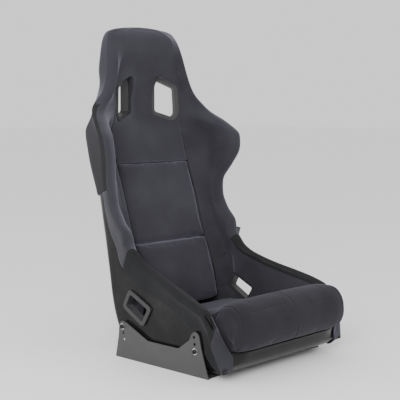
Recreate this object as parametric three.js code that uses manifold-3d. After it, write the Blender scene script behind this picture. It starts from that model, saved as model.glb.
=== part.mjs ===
// A fixed-back racing bucket seat: a laminate shell with sewn foam pads hooked over its rim,
// three loose cushions, harness openings with bezels, and two folded steel side mounts.
//
// Millimetres. +X is the occupant's left, +Y points backwards, +Z up, and the seat faces -Y.
// The shell and its pads are lofted through stations. Each station is a plane that holds a spine
// point (the inside of the shell on the centre line) and a rim point (the crest of the fabric).
// In that plane x runs sideways and d runs from the spine point towards the rim point.

import * as THREE from 'three';
import { mergeVertices } from 'three/addons/utils/BufferGeometryUtils.js';
import Module from 'manifold-3d';

const wasm = await Module();
wasm.setup();

// ---------------------------------------------------------------- driving dimensions

const fitGap = 0.35;              // clearance between pieces that touch
const seamGap = 1.0;              // half of the groove between two sewn pads

// shell
const hipHalfWidth = 228;         // inside face of the side walls beside the occupant's hips
const shoulderHalfWidth = 228;    // the line that the wings and the head are measured from
const shellWall = 5;              // laminate thickness
const bossHeight = 4;             // moulded pad under each side mount bolt
const bossRadius = 15;

// rim pads
const rimFoam = 12;               // foam on top of the shell's edge
const rimInset = 2;               // how far the shell's edge lies inside the flare
const flapThickness = 7;          // foam and fabric on the outside of the shell
const sewnRadius = 4;             // rounding of a pad's sewn edge
const rollWidth = 36;             // width of the roll along the rim
const noseReach = 10;             // how far a thigh pad stands in front of the shell's front edge
const wrapInset = 16;             // how far the shoulder and head fabric laps round onto the back

// loose cushions
const backHalfWidth = 152;        // centre of the groove beside the back and lumbar cushions
const seatGrooveInset = 29;       // from the hip wall to the groove beside the seat cushion
const seatHalfWidth = hipHalfWidth - seatGrooveInset - 4;
const cushionLift = 2.6;          // height of the hook-and-loop strips under a cushion
const stripThickness = cushionLift - 2 * fitGap;
const stripWidth = 40;
const crownHeight = 6;            // how much a cushion's middle stands above its edges
const sewnDrop = 5;               // how much a back cushion's sewn ends lie below its middle

// side mounts
const plateThickness = 3;
const spacerLength = 3.3;
const mountHole = 8.5;            // diameter, for M8
const holePitch = 19;             // between the holes of a height-adjustment row
const footWidth = 52;             // the flange that stands on the floor
const footSlot = { length: 34, width: 9, centres: [52, 140, 228, 316] };
const earReach = 17;              // steel round a row of holes
const plateCorner = 7;
const boltShank = 8;
const boltHead = 14;
const boltHeadHeight = 4.4;
const hexAcrossFlats = 5;
const hexFloor = 1.6;             // steel left under the hexagon
const washerDiameter = 18;
const washerThickness = 1.6;
const spacerDiameter = 20;
const insertDiameter = 14;

// openings
const bezelRing = 12;             // visible width of a bezel
const rearRing = 10;              // width of the ring on the other side of it
const bezelFlange = 4;
const bezelSleeve = 2.4;          // wall of the sleeve that lines an opening
const beltRise = 6.5;             // how far the lap-belt bezel stands off the shell
const slotTilt = 24 * Math.PI / 180;
const slotRadius = 7;
const beltRadius = 5;
const cutterReach = 60;           // how far a cut runs on past the pieces that it goes through

// ---------------------------------------------------------------- stations

// spine and rim are [y, z]; flare is how far the rim stands outside the hip wall
const stations = [
  { at: 'front lip', spine: [-76, 80], rim: [-22, 186], flare: 38 },
  { at: 'chin', spine: [-62, 46], rim: [8, 197], flare: 43 },
  { at: 'chin bottom', spine: [-30, 24], rim: [40, 208], flare: 41 },
  { at: 'front mount', spine: [60, 18], rim: [95, 224], flare: 31 },
  { at: 'thigh', spine: [150, 18], rim: [150, 239], flare: 17 },
  { at: 'thigh rear', spine: [240, 20], rim: [205, 256], flare: 5 },
  { at: 'lap belt', spine: [310, 28], rim: [250, 271], flare: 2 },
  { at: 'hip', spine: [360, 55], rim: [283, 288], flare: 3 },
  { at: 'seat corner', spine: [388, 105], rim: [305, 309], flare: 6 },
  { at: 'lumbar foot', spine: [403, 160], rim: [325, 332], flare: 9 },
  { at: 'lumbar', spine: [415, 230], rim: [331, 364], flare: 11 },
  { at: 'waist', spine: [430, 310], rim: [364, 402], flare: 12 },
  { at: 'ribs', spine: [450, 390], rim: [386, 450], flare: 12 },
  { at: 'upper ribs', spine: [475, 470], rim: [388, 490], flare: 16 },
  { at: 'wing foot', spine: [497, 540], rim: [368, 538], flare: 36 },
  { at: 'wing', spine: [515, 600], rim: [350, 590], flare: 54 },
  { at: 'shoulder', spine: [528, 650], rim: [354, 632], flare: 58 },
  { at: 'wing top', spine: [534, 700], rim: [392, 672], flare: 41 },
  { at: 'neck', spine: [536, 745], rim: [442, 715], flare: 0 },
  { at: 'slot top', spine: [537, 790], rim: [452, 768], flare: -54 },
  { at: 'head foot', spine: [537, 840], rim: [461, 834], flare: -77 },
  { at: 'head', spine: [537, 890], rim: [475, 893], flare: -86 },
  { at: 'head top', spine: [535, 926], rim: [489, 929], flare: -94 },
  { at: 'crown', spine: [529, 949], rim: [502, 951], flare: -107 },
  { at: 'crown edge', spine: [520, 958], rim: [503, 959], flare: -131 },
];
const stationNamed = name => stations.findIndex(station => station.at === name);
const lastStation = stations.length - 1;
// where a form turns fast enough for a row between two stations
const padHalfRows = [[0, 3], [5, 9], [12, lastStation]];
const shellHalfRows = [[0, 2], [5, 9], [16, 19], [22, lastStation]];

// seams between the pads, as positions along the stations
const thighSeam = stationNamed('lumbar foot') + 0.3;
const wingSeam = stationNamed('upper ribs') - 0.15;
const neckSeam = stationNamed('neck') + 0.2;
const chestSeam = stationNamed('wing foot') + 0.03;

// A smooth value through [position, value] pairs that never overshoots them.
function along(pairs) {
  const slopes = [];
  for (let i = 0; i < pairs.length - 1; i++) {
    slopes.push((pairs[i + 1][1] - pairs[i][1]) / (pairs[i + 1][0] - pairs[i][0]));
  }
  const tangents = pairs.map((pair, i) => {
    if (i === 0 || i === pairs.length - 1) return slopes[Math.min(i, slopes.length - 1)];
    const [before, after] = [slopes[i - 1], slopes[i]];
    return before * after <= 0 ? 0 : (2 * before * after) / (before + after);
  });
  return position => {
    const p = Math.min(Math.max(position, pairs[0][0]), pairs[pairs.length - 1][0]);
    let i = 0;
    while (i < pairs.length - 2 && p > pairs[i + 1][0]) i++;
    const [x0, y0] = pairs[i];
    const [x1, y1] = pairs[i + 1];
    const h = x1 - x0;
    const t = (p - x0) / h;
    const t2 = t * t;
    const t3 = t2 * t;
    return y0 * (2 * t3 - 3 * t2 + 1) + h * tangents[i] * (t3 - 2 * t2 + t)
      + y1 * (3 * t2 - 2 * t3) + h * tangents[i + 1] * (t3 - t2);
  };
}

const column = read => along(stations.map((station, i) => [i, read(station)]));
const spineY = column(station => station.spine[0]);
const spineZ = column(station => station.spine[1]);
const rimY = column(station => station.rim[0]);
const rimZ = column(station => station.rim[1]);
const flare = column(station => station.flare);

// The line that a section's widths are measured from.
const halfWidth = along([[0, hipHalfWidth], [12, hipHalfWidth], [15, shoulderHalfWidth],
  [24, shoulderHalfWidth]]);
// The corner where a side wall meets the floor or the back, measured from that line.
const cornerOut = along([[0, 32], [1, 21], [1.8, 4], [2.2, 0], [12, 0], [13, -4], [14, -3], [15, -8],
  [16, -12], [17, -42], [18, -68], [19, -76], [20, -84], [21, -96], [22, -104], [23, -119], [24, -139]]);
const cornerRound = along([[0, 26], [6, 28], [8, 34], [10, 33], [12, 44], [14, 60], [15, 66], [16, 60],
  [17, 20], [18, 10], [20, 14], [24, 12]]);
// Half width of the middle of a section: the seat's, then the back's, then the head's.
const toBack = along([[0, 0], [5.5, 0], [6, 0.087], [6.5, 0.457], [7, 0.826], [7.5, 0.978], [8, 1], [24, 1]]);
const toHead = along([[0, 0], [15, 0], [17, 1], [24, 1]]);
const headNarrow = along([[16, 0], [17, 0.066], [19, 0.092], [20, 0.237], [21, 0.316], [22, 0.368],
  [23, 0.487], [24, 0.632]]);
// How much wider the seat is at its front, where the side walls flare.
const frontSpread = along([[0, 33], [1, 24], [2, 10], [3, 3], [4.5, 0], [24, 0]]);
const seatGroove = hipHalfWidth - seatGrooveInset;
const headGroove = shoulderHalfWidth - 76;
function groove(s) {
  const lower = seatGroove + frontSpread(s) + (backHalfWidth - seatGroove) * toBack(s);
  return (lower + (headGroove - lower) * toHead(s)) * (1 - headNarrow(s));
}
// The strip beside the neck slopes forward, so that the harness slots face inward.
const rampStart = 40;
const rampRise = along([[16, 0], [16.5, 18], [17, 40], [18, 44], [19, 42], [19.5, 24], [20, 0], [24, 0]]);
// How sharply a side wall turns outward near its rim.
const flarePower = along([[0, 2], [1, 2.6], [2, 3.6], [3, 3.4], [4, 2.4], [8, 2], [11, 1], [24, 1]]);

// A station's plane and the inside of the shell in it, from the centre line to the rim.
function section(s) {
  const spine = new THREE.Vector2(spineY(s), spineZ(s));
  const up = new THREE.Vector2(rimY(s), rimZ(s)).sub(spine);
  const crest = up.length();
  up.divideScalar(crest);
  const rim = new THREE.Vector2(halfWidth(s) + flare(s) - rimInset, crest - rimFoam);
  const edge = groove(s);
  const rise = rampRise(s);
  const slope = rise / (edge - rampStart);
  const cornerX = halfWidth(s) + cornerOut(s);
  const corner = new THREE.Vector2(cornerX, slope * (cornerX - rampStart));
  const inward = new THREE.Vector2(-1, -slope).normalize();
  const height = rim.distanceTo(corner);
  const round = Math.min(cornerRound(s), cornerX - edge - 3, height * 0.7);
  const foot = corner.clone().addScaledVector(inward, round);
  const lean = t => new THREE.Vector2(
    corner.x + (rim.x - corner.x) * t ** flarePower(s),
    corner.y + (rim.y - corner.y) * t);
  const start = round / height;
  const bend = new THREE.QuadraticBezierCurve(foot, corner, lean(start)).getPoints(3);
  const climb = [1 / 3, 2 / 3, 1].map(t => lean(start + (1 - start) * t));
  const inside = [new THREE.Vector2(0, 0), new THREE.Vector2(rampStart, 0),
    new THREE.Vector2(edge, rise), ...bend, ...climb];
  return { s, spine, up, crest, rim, edge, rise, slope, inside };
}
const rimIndex = 9;               // last point of a section's inside
const grooveIndex = 2;

// A point of a section, in space.
const place = (sec, x, d) => new THREE.Vector3(x, sec.spine.x + sec.up.x * d, sec.spine.y + sec.up.y * d);

// A profile moved outward, away from the occupant, with its thickness kept at the corners.
function offset(profile, distance) {
  return profile.map((point, i) => {
    const before = profile[Math.max(i - 1, 0)];
    const after = profile[Math.min(i + 1, profile.length - 1)];
    const a = i > 0 ? point.clone().sub(before).normalize() : new THREE.Vector2(1, 0);
    const b = i < profile.length - 1 ? after.clone().sub(point).normalize() : a;
    const normal = new THREE.Vector2(a.y + b.y, -a.x - b.x).normalize();
    const stretch = 1 / Math.max(0.7, Math.abs(normal.x * a.y - normal.y * a.x));
    return point.clone().addScaledVector(normal, distance * stretch);
  });
}

// A profile's point at a position between its indexes.
function pointAt(profile, q) {
  const i = Math.min(Math.floor(q), profile.length - 2);
  return profile[i].clone().lerp(profile[i + 1], q - i);
}

const steps = (from, to, count) =>
  Array.from({ length: count }, (_, i) => from + (to - from) * i / (count - 1));

// Rows between two positions, on the common grid, with the two ends.
function rows(from, to, halfRows = padHalfRows) {
  const between = steps(0, lastStation, 2 * lastStation + 1).filter(s => s - from > 0.12 && to - s > 0.12
    && (Number.isInteger(s) || halfRows.some(([first, last]) => s > first && s < last)));
  return [from, ...between, to];
}

// How far along the stations a distance is.
function stationsFor(s, distance) {
  const here = new THREE.Vector2(spineY(s), spineZ(s));
  const there = new THREE.Vector2(spineY(s + 0.2), spineZ(s + 0.2));
  return 0.2 * distance / here.distanceTo(there);
}

// ---------------------------------------------------------------- solids

function solidOf(positions, triangles) {
  let volume = 0;
  for (const [a, b, c] of triangles) volume += positions[a].dot(positions[b].clone().cross(positions[c]));
  const turned = volume < 0 ? triangles.map(([a, b, c]) => [a, c, b]) : triangles;
  const geometry = new THREE.BufferGeometry();
  geometry.setAttribute('position', new THREE.Float32BufferAttribute(positions.flatMap(p => p.toArray()), 3));
  geometry.setIndex(turned.flat());
  return manifoldOf(geometry);
}

function manifoldOf(geometry) {
  const bare = geometry.clone();
  bare.deleteAttribute('normal');
  bare.deleteAttribute('uv');
  const merged = mergeVertices(bare, 1e-4);
  return new wasm.Manifold(new wasm.Mesh({
    numProp: 3,
    vertProperties: new Float32Array(merged.attributes.position.array),
    triVerts: new Uint32Array(merged.index.array),
  }));
}

// A closed loft: one ring of points for each row, and the outline of each end for its cap.
// The faces of the caps are found from the outlines, or given.
function loft(rings, firstOutline, lastOutline, givenFaces) {
  const count = rings[0].length;
  const all = rings.flat();
  const triangles = [];
  for (let r = 0; r < rings.length - 1; r++) {
    for (let i = 0; i < count; i++) {
      const j = (i + 1) % count;
      const [a, b] = [r * count + i, r * count + j];
      const [c, d] = [a + count, b + count];
      // The two halves of a mirrored form get mirrored faces.
      const sideways = [a, b, c, d].reduce((sum, k) => sum + all[k].x, 0);
      if (sideways < 0) triangles.push([a, b, c], [b, d, c]);
      else triangles.push([a, b, d], [a, d, c]);
    }
  }
  // A cap's faces keep its outline's own winding, or turn it round at the first end.
  const cap = (outline, start, turn) => {
    const faces = givenFaces ?? THREE.ShapeUtils.triangulateShape(outline.slice(), []);
    const area = faces.reduce((sum, face) => sum + THREE.ShapeUtils.area(face.map(i => outline[i])), 0);
    const same = area * THREE.ShapeUtils.area(outline) > 0;
    for (const [a, b, c] of faces) {
      triangles.push(same === turn ? [start + a, start + c, start + b] : [start + a, start + b, start + c]);
    }
  };
  cap(firstOutline, 0, true);
  cap(lastOutline, (rings.length - 1) * count, false);
  return solidOf(all, triangles);
}

// Outlines in x and d, set in their stations' planes.
const ringsAt = (positions, outlines) => outlines.map((outline, i) => {
  const sec = section(positions[i]);
  return outline.map(point => place(sec, point.x, point.y));
});

// A loft through station planes, from a function that gives a row's outline.
function stationLoft(positions, outlineAt) {
  const outlines = positions.map(outlineAt);
  return loft(ringsAt(positions, outlines), outlines[0], outlines[outlines.length - 1]);
}

const mirrored = solid => solid.mirror([1, 0, 0]);
const sided = (solid, side) => (side > 0 ? solid : mirrored(solid));
const both = half => [...half, ...half.filter(p => p.x > 0).reverse().map(p => new THREE.Vector2(-p.x, p.y))];

// A flat outline given thickness: the outline lies in the plane of two axes, the depth on the third.
function prism(outline, holes, from, to, toSpace) {
  const shape = new THREE.Shape(outline);
  holes.forEach(hole => shape.holes.push(new THREE.Path(hole)));
  const geometry = new THREE.ExtrudeGeometry(shape, { depth: to - from, bevelEnabled: false });
  const flat = geometry.attributes.position;
  const points = [];
  for (let i = 0; i < flat.count; i++) {
    points.push(toSpace(flat.getX(i), flat.getY(i), flat.getZ(i) + from));
  }
  geometry.deleteAttribute('normal');
  geometry.deleteAttribute('uv');
  geometry.setAttribute('position', new THREE.Float32BufferAttribute(points.flatMap(p => p.toArray()), 3));
  const merged = mergeVertices(geometry, 1e-4);
  return solidOf(cornersOf(merged), facesOf(merged));
}
const cornersOf = geometry => Array.from({ length: geometry.attributes.position.count }, (_, i) =>
  new THREE.Vector3().fromBufferAttribute(geometry.attributes.position, i));
function facesOf(geometry) {
  const triangles = [];
  for (let i = 0; i < geometry.index.count; i += 3) {
    const face = [0, 1, 2].map(k => geometry.index.getX(i + k));
    if (new Set(face).size === 3) triangles.push(face);
  }
  return triangles;
}
const acrossX = (y, z, x) => new THREE.Vector3(x, y, z);     // an outline in y and z, depth along x
const acrossZ = (x, y, z) => new THREE.Vector3(x, y, z);     // an outline in x and y, depth along z

const circle = (x, y, radius, sides = 20) => Array.from({ length: sides }, (_, i) => {
  const angle = 2 * Math.PI * i / sides;
  return new THREE.Vector2(x + radius * Math.cos(angle), y + radius * Math.sin(angle));
});

// An outline with each corner rounded by three points.
function rounded(corners, radius) {
  return corners.flatMap((corner, i) => {
    const before = corners[(i + corners.length - 1) % corners.length];
    const after = corners[(i + 1) % corners.length];
    const a = before.clone().sub(corner);
    const b = after.clone().sub(corner);
    const reach = Math.min(radius, a.length() * 0.45, b.length() * 0.45);
    const from = corner.clone().addScaledVector(a.normalize(), reach);
    const to = corner.clone().addScaledVector(b.normalize(), reach);
    return new THREE.QuadraticBezierCurve(from, corner, to).getPoints(3);
  });
}

// A convex outline, listed anticlockwise, grown by a distance.
function grown(corners, distance) {
  return corners.map((corner, i) => {
    const before = corners[(i + corners.length - 1) % corners.length];
    const after = corners[(i + 1) % corners.length];
    const a = corner.clone().sub(before).normalize();
    const b = after.clone().sub(corner).normalize();
    const normal = new THREE.Vector2(a.y + b.y, -a.x - b.x).normalize();
    const stretch = 1 / Math.max(0.35, normal.x * a.y - normal.y * a.x);
    return corner.clone().addScaledVector(normal, distance * stretch);
  });
}

// ---------------------------------------------------------------- openings

// Corners of a harness slot about its centre, in x and z, anticlockwise from its lower inner corner.
const slotCorners = [[-32, -39], [22, -58], [33, -47], [29, 32], [-25, 57], [-32, 40]];
const slotInset = 139;            // from the shoulder line to a slot's centre
const slotCentre = new THREE.Vector3(shoulderHalfWidth - slotInset, 500.5, 748);
// Corners of the lap-belt opening in y and z.
const beltCorners = [[262, 116], [328, 153], [310, 188], [239, 154]];

const slotLocal = slotCorners.map(([x, z]) => new THREE.Vector2(x / Math.cos(slotTilt), z));
const beltLocal = beltCorners.map(([y, z]) => new THREE.Vector2(y, z));

// Local x along the slot's face, local y up, depth from the face into the seat.
const intoSlot = (x, y, depth) => new THREE.Vector3(
  slotCentre.x + x * Math.cos(slotTilt) + depth * Math.sin(slotTilt),
  slotCentre.y - x * Math.sin(slotTilt) + depth * Math.cos(slotTilt),
  slotCentre.z + y);

const roundingShare = 0.7;        // how much of an outline's growth its corners take up
const slotOutline = extra => rounded(grown(slotLocal, extra), slotRadius + extra * roundingShare);
const beltOutline = extra => rounded(grown(beltLocal, extra), beltRadius + extra * roundingShare);

const sleeveOut = bezelSleeve + fitGap;
const slotCut = prism(slotOutline(sleeveOut), [], -cutterReach, cutterReach + 20, intoSlot);
const beltCut = prism(beltOutline(sleeveOut), [], hipHalfWidth - cutterReach * 1.5,
  hipHalfWidth + cutterReach, acrossX);

const rearPocketDepth = 20.15;    // from a slot's front face to the flat hollow behind the shell
const rearBezelDepth = 22.5;      // from a slot's front face to the ring that sits in that hollow
const rearRingThickness = 3;
const slotPocket = prism(slotOutline(bezelRing + fitGap), [], -cutterReach, bezelFlange + fitGap, intoSlot);
const rearPocket = prism(slotOutline(rearRing + fitGap), [], rearPocketDepth, cutterReach + 10, intoSlot);

const beltFace = hipHalfWidth + shellWall;                  // outside of the shell at the lap belt
const beltInner = hipHalfWidth - 14;                        // face of the thin pad round the opening
const beltInnerBack = beltInner + bezelFlange - 1;
const beltSeatFrom = beltFace + 1.2;                        // the bezel stands off the curved wall
const beltPocket = prism(beltOutline(rearRing + fitGap), [], hipHalfWidth - cutterReach * 1.5,
  beltInnerBack + fitGap, acrossX);
const beltSeat = prism(beltOutline(bezelRing + fitGap), [], beltSeatFrom - fitGap,
  hipHalfWidth + cutterReach, acrossX);

// ---------------------------------------------------------------- side mount places

const plateInner = hipHalfWidth + shellWall + bossHeight + spacerLength + 2 * fitGap;
const plateOuter = plateInner + plateThickness;
const bossFace = hipHalfWidth + shellWall + bossHeight;
const rearHole = new THREE.Vector2(337, 92);
const frontHole = new THREE.Vector2(48, 69);
const rearLean = 0.22;            // how far a hole row leans forward for each millimetre down
const rearRow = [0, 1, 2].map(i => new THREE.Vector2(rearHole.x - rearLean * i * holePitch * 0.6,
  rearHole.y - i * holePitch * 0.97));
const frontRow = [0, 1, 2].map(i => new THREE.Vector2(frontHole.x + i * holePitch * 0.13,
  frontHole.y + i * holePitch));
const mounts = [{ name: 'rear', hole: rearHole }, { name: 'front', hole: frontHole }];

// ---------------------------------------------------------------- shell

function shellOutline(s, swell) {
  const inside = offset(section(s).inside, -swell);
  const outside = offset(section(s).inside, shellWall + swell);
  const wall = inside[rimIndex].clone().sub(inside[rimIndex - 1]).normalize();
  inside[rimIndex].addScaledVector(wall, swell);
  outside[rimIndex].addScaledVector(wall, swell);
  const flip = p => new THREE.Vector2(-p.x, p.y);
  return [...inside.slice(1).reverse().map(flip), ...inside,
    ...outside.slice().reverse(), ...outside.slice(1).map(flip)];
}

function shellSolid(swell) {
  const positions = rows(0, lastStation, shellHalfRows);
  const outlines = positions.map(s => shellOutline(s, swell));
  const rings = ringsAt(positions, outlines);
  if (swell > 0) {
    const grow = (ring, next) => ring.map((p, i) =>
      p.addScaledVector(p.clone().sub(next[i]).normalize(), swell));
    grow(rings[0], rings[1].map(p => p.clone()));
    grow(rings[rings.length - 1], rings[rings.length - 2].map(p => p.clone()));
  }
  return loft(rings, outlines[0], outlines[outlines.length - 1]);
}

function bosses(side) {
  return mounts.map(({ hole }) => sided(
    prism(circle(hole.x, hole.y, bossRadius, 20), [], bossFace - bossHeight - 3, bossFace, acrossX), side));
}

const swollenShell = shellSolid(fitGap + 0.1);

function shell() {
  let body = shellSolid(0);
  for (const side of [1, -1]) {
    bosses(side).forEach(boss => { body = body.add(boss); });
    mounts.forEach(({ hole }) => {
      const seat = prism(circle(hole.x, hole.y, insertDiameter / 2 + fitGap, 16), [],
        hipHalfWidth - 20, hipHalfWidth + 40, acrossX);
      body = body.subtract(sided(seat, side));
    });
    body = body.subtract(sided(slotCut, side)).subtract(sided(rearPocket, side));
    body = body.subtract(sided(beltCut, side));
  }
  return body;
}

// ---------------------------------------------------------------- rim pads

// Front face of the loose back cushions along the groove, in y and z.
const cushionFace = new THREE.SplineCurve([[319, 96], [322, 120], [338, 205], [362, 275], [388, 335],
  [422, 448], [460, 553], [480, 600]].map(([y, z]) => new THREE.Vector2(y, z))).getPoints(36);

// Depth in a station's plane at which it meets the cushions' front face.
function faceDepth(s) {
  const sec = section(s);
  for (let i = 0; i < cushionFace.length - 1; i++) {
    const { x: ay, y: az } = cushionFace[i];
    const [dy, dz] = [cushionFace[i + 1].x - ay, cushionFace[i + 1].y - az];
    const cross = sec.up.x * dz - sec.up.y * dy;
    const t = ((ay - sec.spine.x) * sec.up.y - (az - sec.spine.y) * sec.up.x) / cross;
    const depth = ((ay - sec.spine.x) * dz - (az - sec.spine.y) * dy) / cross;
    if (t >= 0 && t <= 1 && depth > 0) return depth;
  }
  return 60;
}

const facePoints = 10;

// Height of a rim pad where it meets the groove.
const seatEdge = 8;
const upperEdge = along([[14, 42], [15, 40], [16, 40], [17, 53], [18, 58], [19, 57], [20, 52], [21, 60],
  [22, 55], [23, 38], [24, 24]]);
function grooveLevel(s) {
  if (s >= 14) return upperEdge(s);
  if (s >= 7.5) return faceDepth(s);
  return along([[0, seatEdge], [5.5, seatEdge + 2], [6.5, 34], [7.5, faceDepth(7.5)]])(s);
}
const centreLevel = along([[14, 47], [15, 45], [16, 34], [17, 18], [18, 18], [19, 27], [20, 42], [21, 57],
  [22, 53], [23, 38], [24, 22]]);
// Thickness of a rim pad on the side wall.
const wallPad = along([[0, 16], [1, 16], [2, 15], [3, 18], [4, 20], [5, 14], [6, 13], [7, 15], [8, 24],
  [9, 34], [11, 47], [13, 50], [14, 42], [15, 32], [16, 28], [18, 26], [20, 22], [24, 12]]);
// Width of the roll along the rim, as a share of its full width.
const rollShare = along([[0, 0.6], [1, 0.75], [2, 0.9], [3, 1], [4, 0.84], [8, 0.84], [9, 1], [16, 1],
  [18, 0.9], [20, 0.75], [22, 0.65], [24, 0.4]]);
// How far the face dips between the roll along the rim and the middle.
const rollDip = along([[0, 1], [16, 1], [18, 0.8], [19, 0.5], [20, 0.1], [24, 0]]);

// Inside face of the shell's wall at a depth.
function wallX(sec, d) {
  for (let i = rimIndex - 1; i > grooveIndex; i--) {
    const [a, b] = [sec.inside[i], sec.inside[i + 1]];
    if (d >= a.y || i === grooveIndex + 1) return a.x + (b.x - a.x) * (d - a.y) / (b.y - a.y || 1);
  }
  return sec.rim.x;
}

// Points that a rim pad's face runs through, from its side wall over the crest to the outside.
function crestPoints(s, gap) {
  const sec = section(s);
  const level = grooveLevel(s);
  const roll = rollWidth * rollShare(s);
  const rise = f => level + f * (sec.crest - level);
  const v = (x, y) => new THREE.Vector2(Math.max(x, sec.edge + gap + sewnRadius + 1), y);
  const low = Math.max(rise(0.25), level);
  return [
    v(wallX(sec, low) - wallPad(s), rise(0.25)),
    v(wallX(sec, rise(0.6)) - (wallPad(s) + roll) / 2, rise(0.6)),
    v(sec.rim.x - roll, sec.crest - rimFoam * (0.25 + 0.9 * rollDip(s))),
    v(sec.rim.x - roll * 0.6, sec.crest - rimFoam * (0.1 + 0.2 * rollDip(s))),
    v(sec.rim.x - roll * 0.1, sec.crest),
    v(sec.rim.x + (shellWall + flapThickness) * 0.75, sec.crest - rimFoam * 0.5),
    v(sec.rim.x + shellWall + flapThickness, sec.crest - rimFoam - 6),
  ];
}

// The visible face of a rim pad, from its sewn edge at the groove.
function padFace(s, gap) {
  const sec = section(s);
  const level = grooveLevel(s);
  const sewn = new THREE.Vector2(sec.edge + gap, level - sewnRadius);
  const start = new THREE.Vector2(sec.edge + gap + sewnRadius * 0.8, level);
  return [sewn, ...new THREE.SplineCurve([start, ...crestPoints(s, gap)]).getPoints(facePoints)];
}

// Where the fabric ends on the outside of the shell, as an index along the section.
const flapEnd = along([[0, 3.4], [1.5, 3.6], [2, 4.4], [2.6, 7], [3, 7.6], [4, 8.2], [5, 8.25], [6, 8.2],
  [9, 8.0], [11, 7.6], [12, 7.4], [13, 7.2]]);

function sidePadOutline(s) {
  const sec = section(s);
  const outer = offset(sec.inside, shellWall + flapThickness);
  const edgeLine = offset(sec.inside, shellWall + 1.5);
  const middle = offset(sec.inside, shellWall / 2);
  const end = flapEnd(s);
  const down = steps(rimIndex - 0.35, end + 0.1, 6).map(q => pointAt(outer, q));
  const hidden = steps(end, grooveIndex + 1, 6).map(q => pointAt(middle, q));
  hidden.push(new THREE.Vector2(sec.edge + seamGap, sec.rise - shellWall / 2));
  return [...padFace(s, seamGap), ...down, pointAt(edgeLine, end), ...hidden];
}

// The shoulder and head fabric goes right round the side onto the back.
const lobeOut = along([[12, 10], [13, 7], [14, 8], [15, 5], [16, -2], [17, -32], [18, -53], [19, -63],
  [20, -71], [21, -80], [22, -88], [23, -101], [24, -121]]);
const lobeBack = along([[12, -11], [16, -11], [17, 2], [18, 6], [19, 4], [20, -10], [24, -11]]);
const lobeRound = along([[12, 58], [13, 66], [14, 70], [15, 73], [16, 66], [18, 30], [20, 24], [24, 14]]);

function lobePath(sec) {
  const s = sec.s;
  const top = new THREE.Vector2(sec.rim.x + shellWall + flapThickness, sec.crest - rimFoam - 6);
  const corner = new THREE.Vector2(halfWidth(s) + lobeOut(s), lobeBack(s));
  const wall = top.clone().sub(corner);
  const round = Math.min(lobeRound(s), wall.length() * 0.8);
  const from = corner.clone().addScaledVector(wall.normalize(), round);
  const to = new THREE.Vector2(corner.x - round, corner.y);
  return new THREE.QuadraticBezierCurve(from, corner, to).getPoints(3);
}

function wingOutline(s) {
  const sec = section(s);
  const middle = offset(sec.inside, shellWall / 2);
  const back = lobePath(sec);
  const end = new THREE.Vector2(Math.min(sec.edge + wrapInset, back[3].x - 3), lobeBack(s));
  const stepIn = pointAt(middle, grooveIndex + 0.4);
  const foot = new THREE.Vector2(sec.edge + seamGap, sec.rise - shellWall / 2);
  return [...padFace(s, seamGap), ...back, end, stepIn, foot];
}

const middleOf = ring => ring.reduce((sum, p) => sum.add(p), new THREE.Vector3()).divideScalar(ring.length);

// The front end of a thigh pad wraps over the front edge of the shell.
function nosed(outlineAt, from, to, reach) {
  const positions = rows(from, to);
  const outlines = positions.map(outlineAt);
  const rings = ringsAt(positions, outlines);
  const ahead = section(from);
  const normal = new THREE.Vector3(0, -ahead.up.y, ahead.up.x);
  const middle = middleOf(rings[0]);
  const shrunk = (share, distance) => rings[0].map(p =>
    middle.clone().lerp(p, share).addScaledVector(normal, distance));
  const nose = [shrunk(0.84, reach), shrunk(0.96, reach * 0.62)];
  return loft([...nose, ...rings], outlines[0], outlines[outlines.length - 1]);
}

// The fabric stops in front of the side mount's front ear.
const earClear = prism([[6, -5], [16, 40], [18, 90], [24, 128], [72, 128], [130, 90], [130, -5]]
  .map(([y, z]) => new THREE.Vector2(y, z)), [], hipHalfWidth + 3.5, hipHalfWidth + 70, acrossX);

const sewnBefore = seam => seam - stationsFor(seam, seamGap);
const sewnAfter = seam => seam + stationsFor(seam, seamGap);

function thighPad(side) {
  const body = nosed(sidePadOutline, 0, sewnBefore(thighSeam), noseReach)
    .subtract(swollenShell).subtract(beltCut).subtract(beltPocket).subtract(beltSeat);
  return sided(body.subtract(earClear), side);
}

function torsoPad(side) {
  const body = stationLoft(rows(sewnAfter(thighSeam), sewnBefore(wingSeam)), sidePadOutline)
    .subtract(swollenShell);
  return sided(body, side);
}

function wingPad(side) {
  const body = stationLoft(rows(sewnAfter(wingSeam), sewnBefore(neckSeam)), wingOutline)
    .subtract(swollenShell).subtract(slotPocket).subtract(slotCut).subtract(rearPocket);
  return sided(body, side);
}

// ---------------------------------------------------------------- upper back pad

function chestOutline(s, sink) {
  const sec = section(s);
  const edge = sec.edge - seamGap;
  const level = grooveLevel(s) - sink;
  const centre = centreLevel(s) - sink;
  const floor = -shellWall / 2;
  const half = [
    new THREE.Vector2(0, centre), new THREE.Vector2(rampStart, centre + (level - centre) * 0.06),
    new THREE.Vector2((rampStart + edge) / 2, centre + (level - centre) * 0.5),
    new THREE.Vector2(edge - sewnRadius, level), new THREE.Vector2(edge, level - sewnRadius),
    new THREE.Vector2(edge, sec.rise + floor), new THREE.Vector2(rampStart, floor),
  ];
  return both([...half, new THREE.Vector2(0, floor)]);
}

const rearLap = along([[21.5, -shellWall / 2], [22, -shellWall / 2], [22.5, -shellWall - flapThickness]]);

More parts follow.
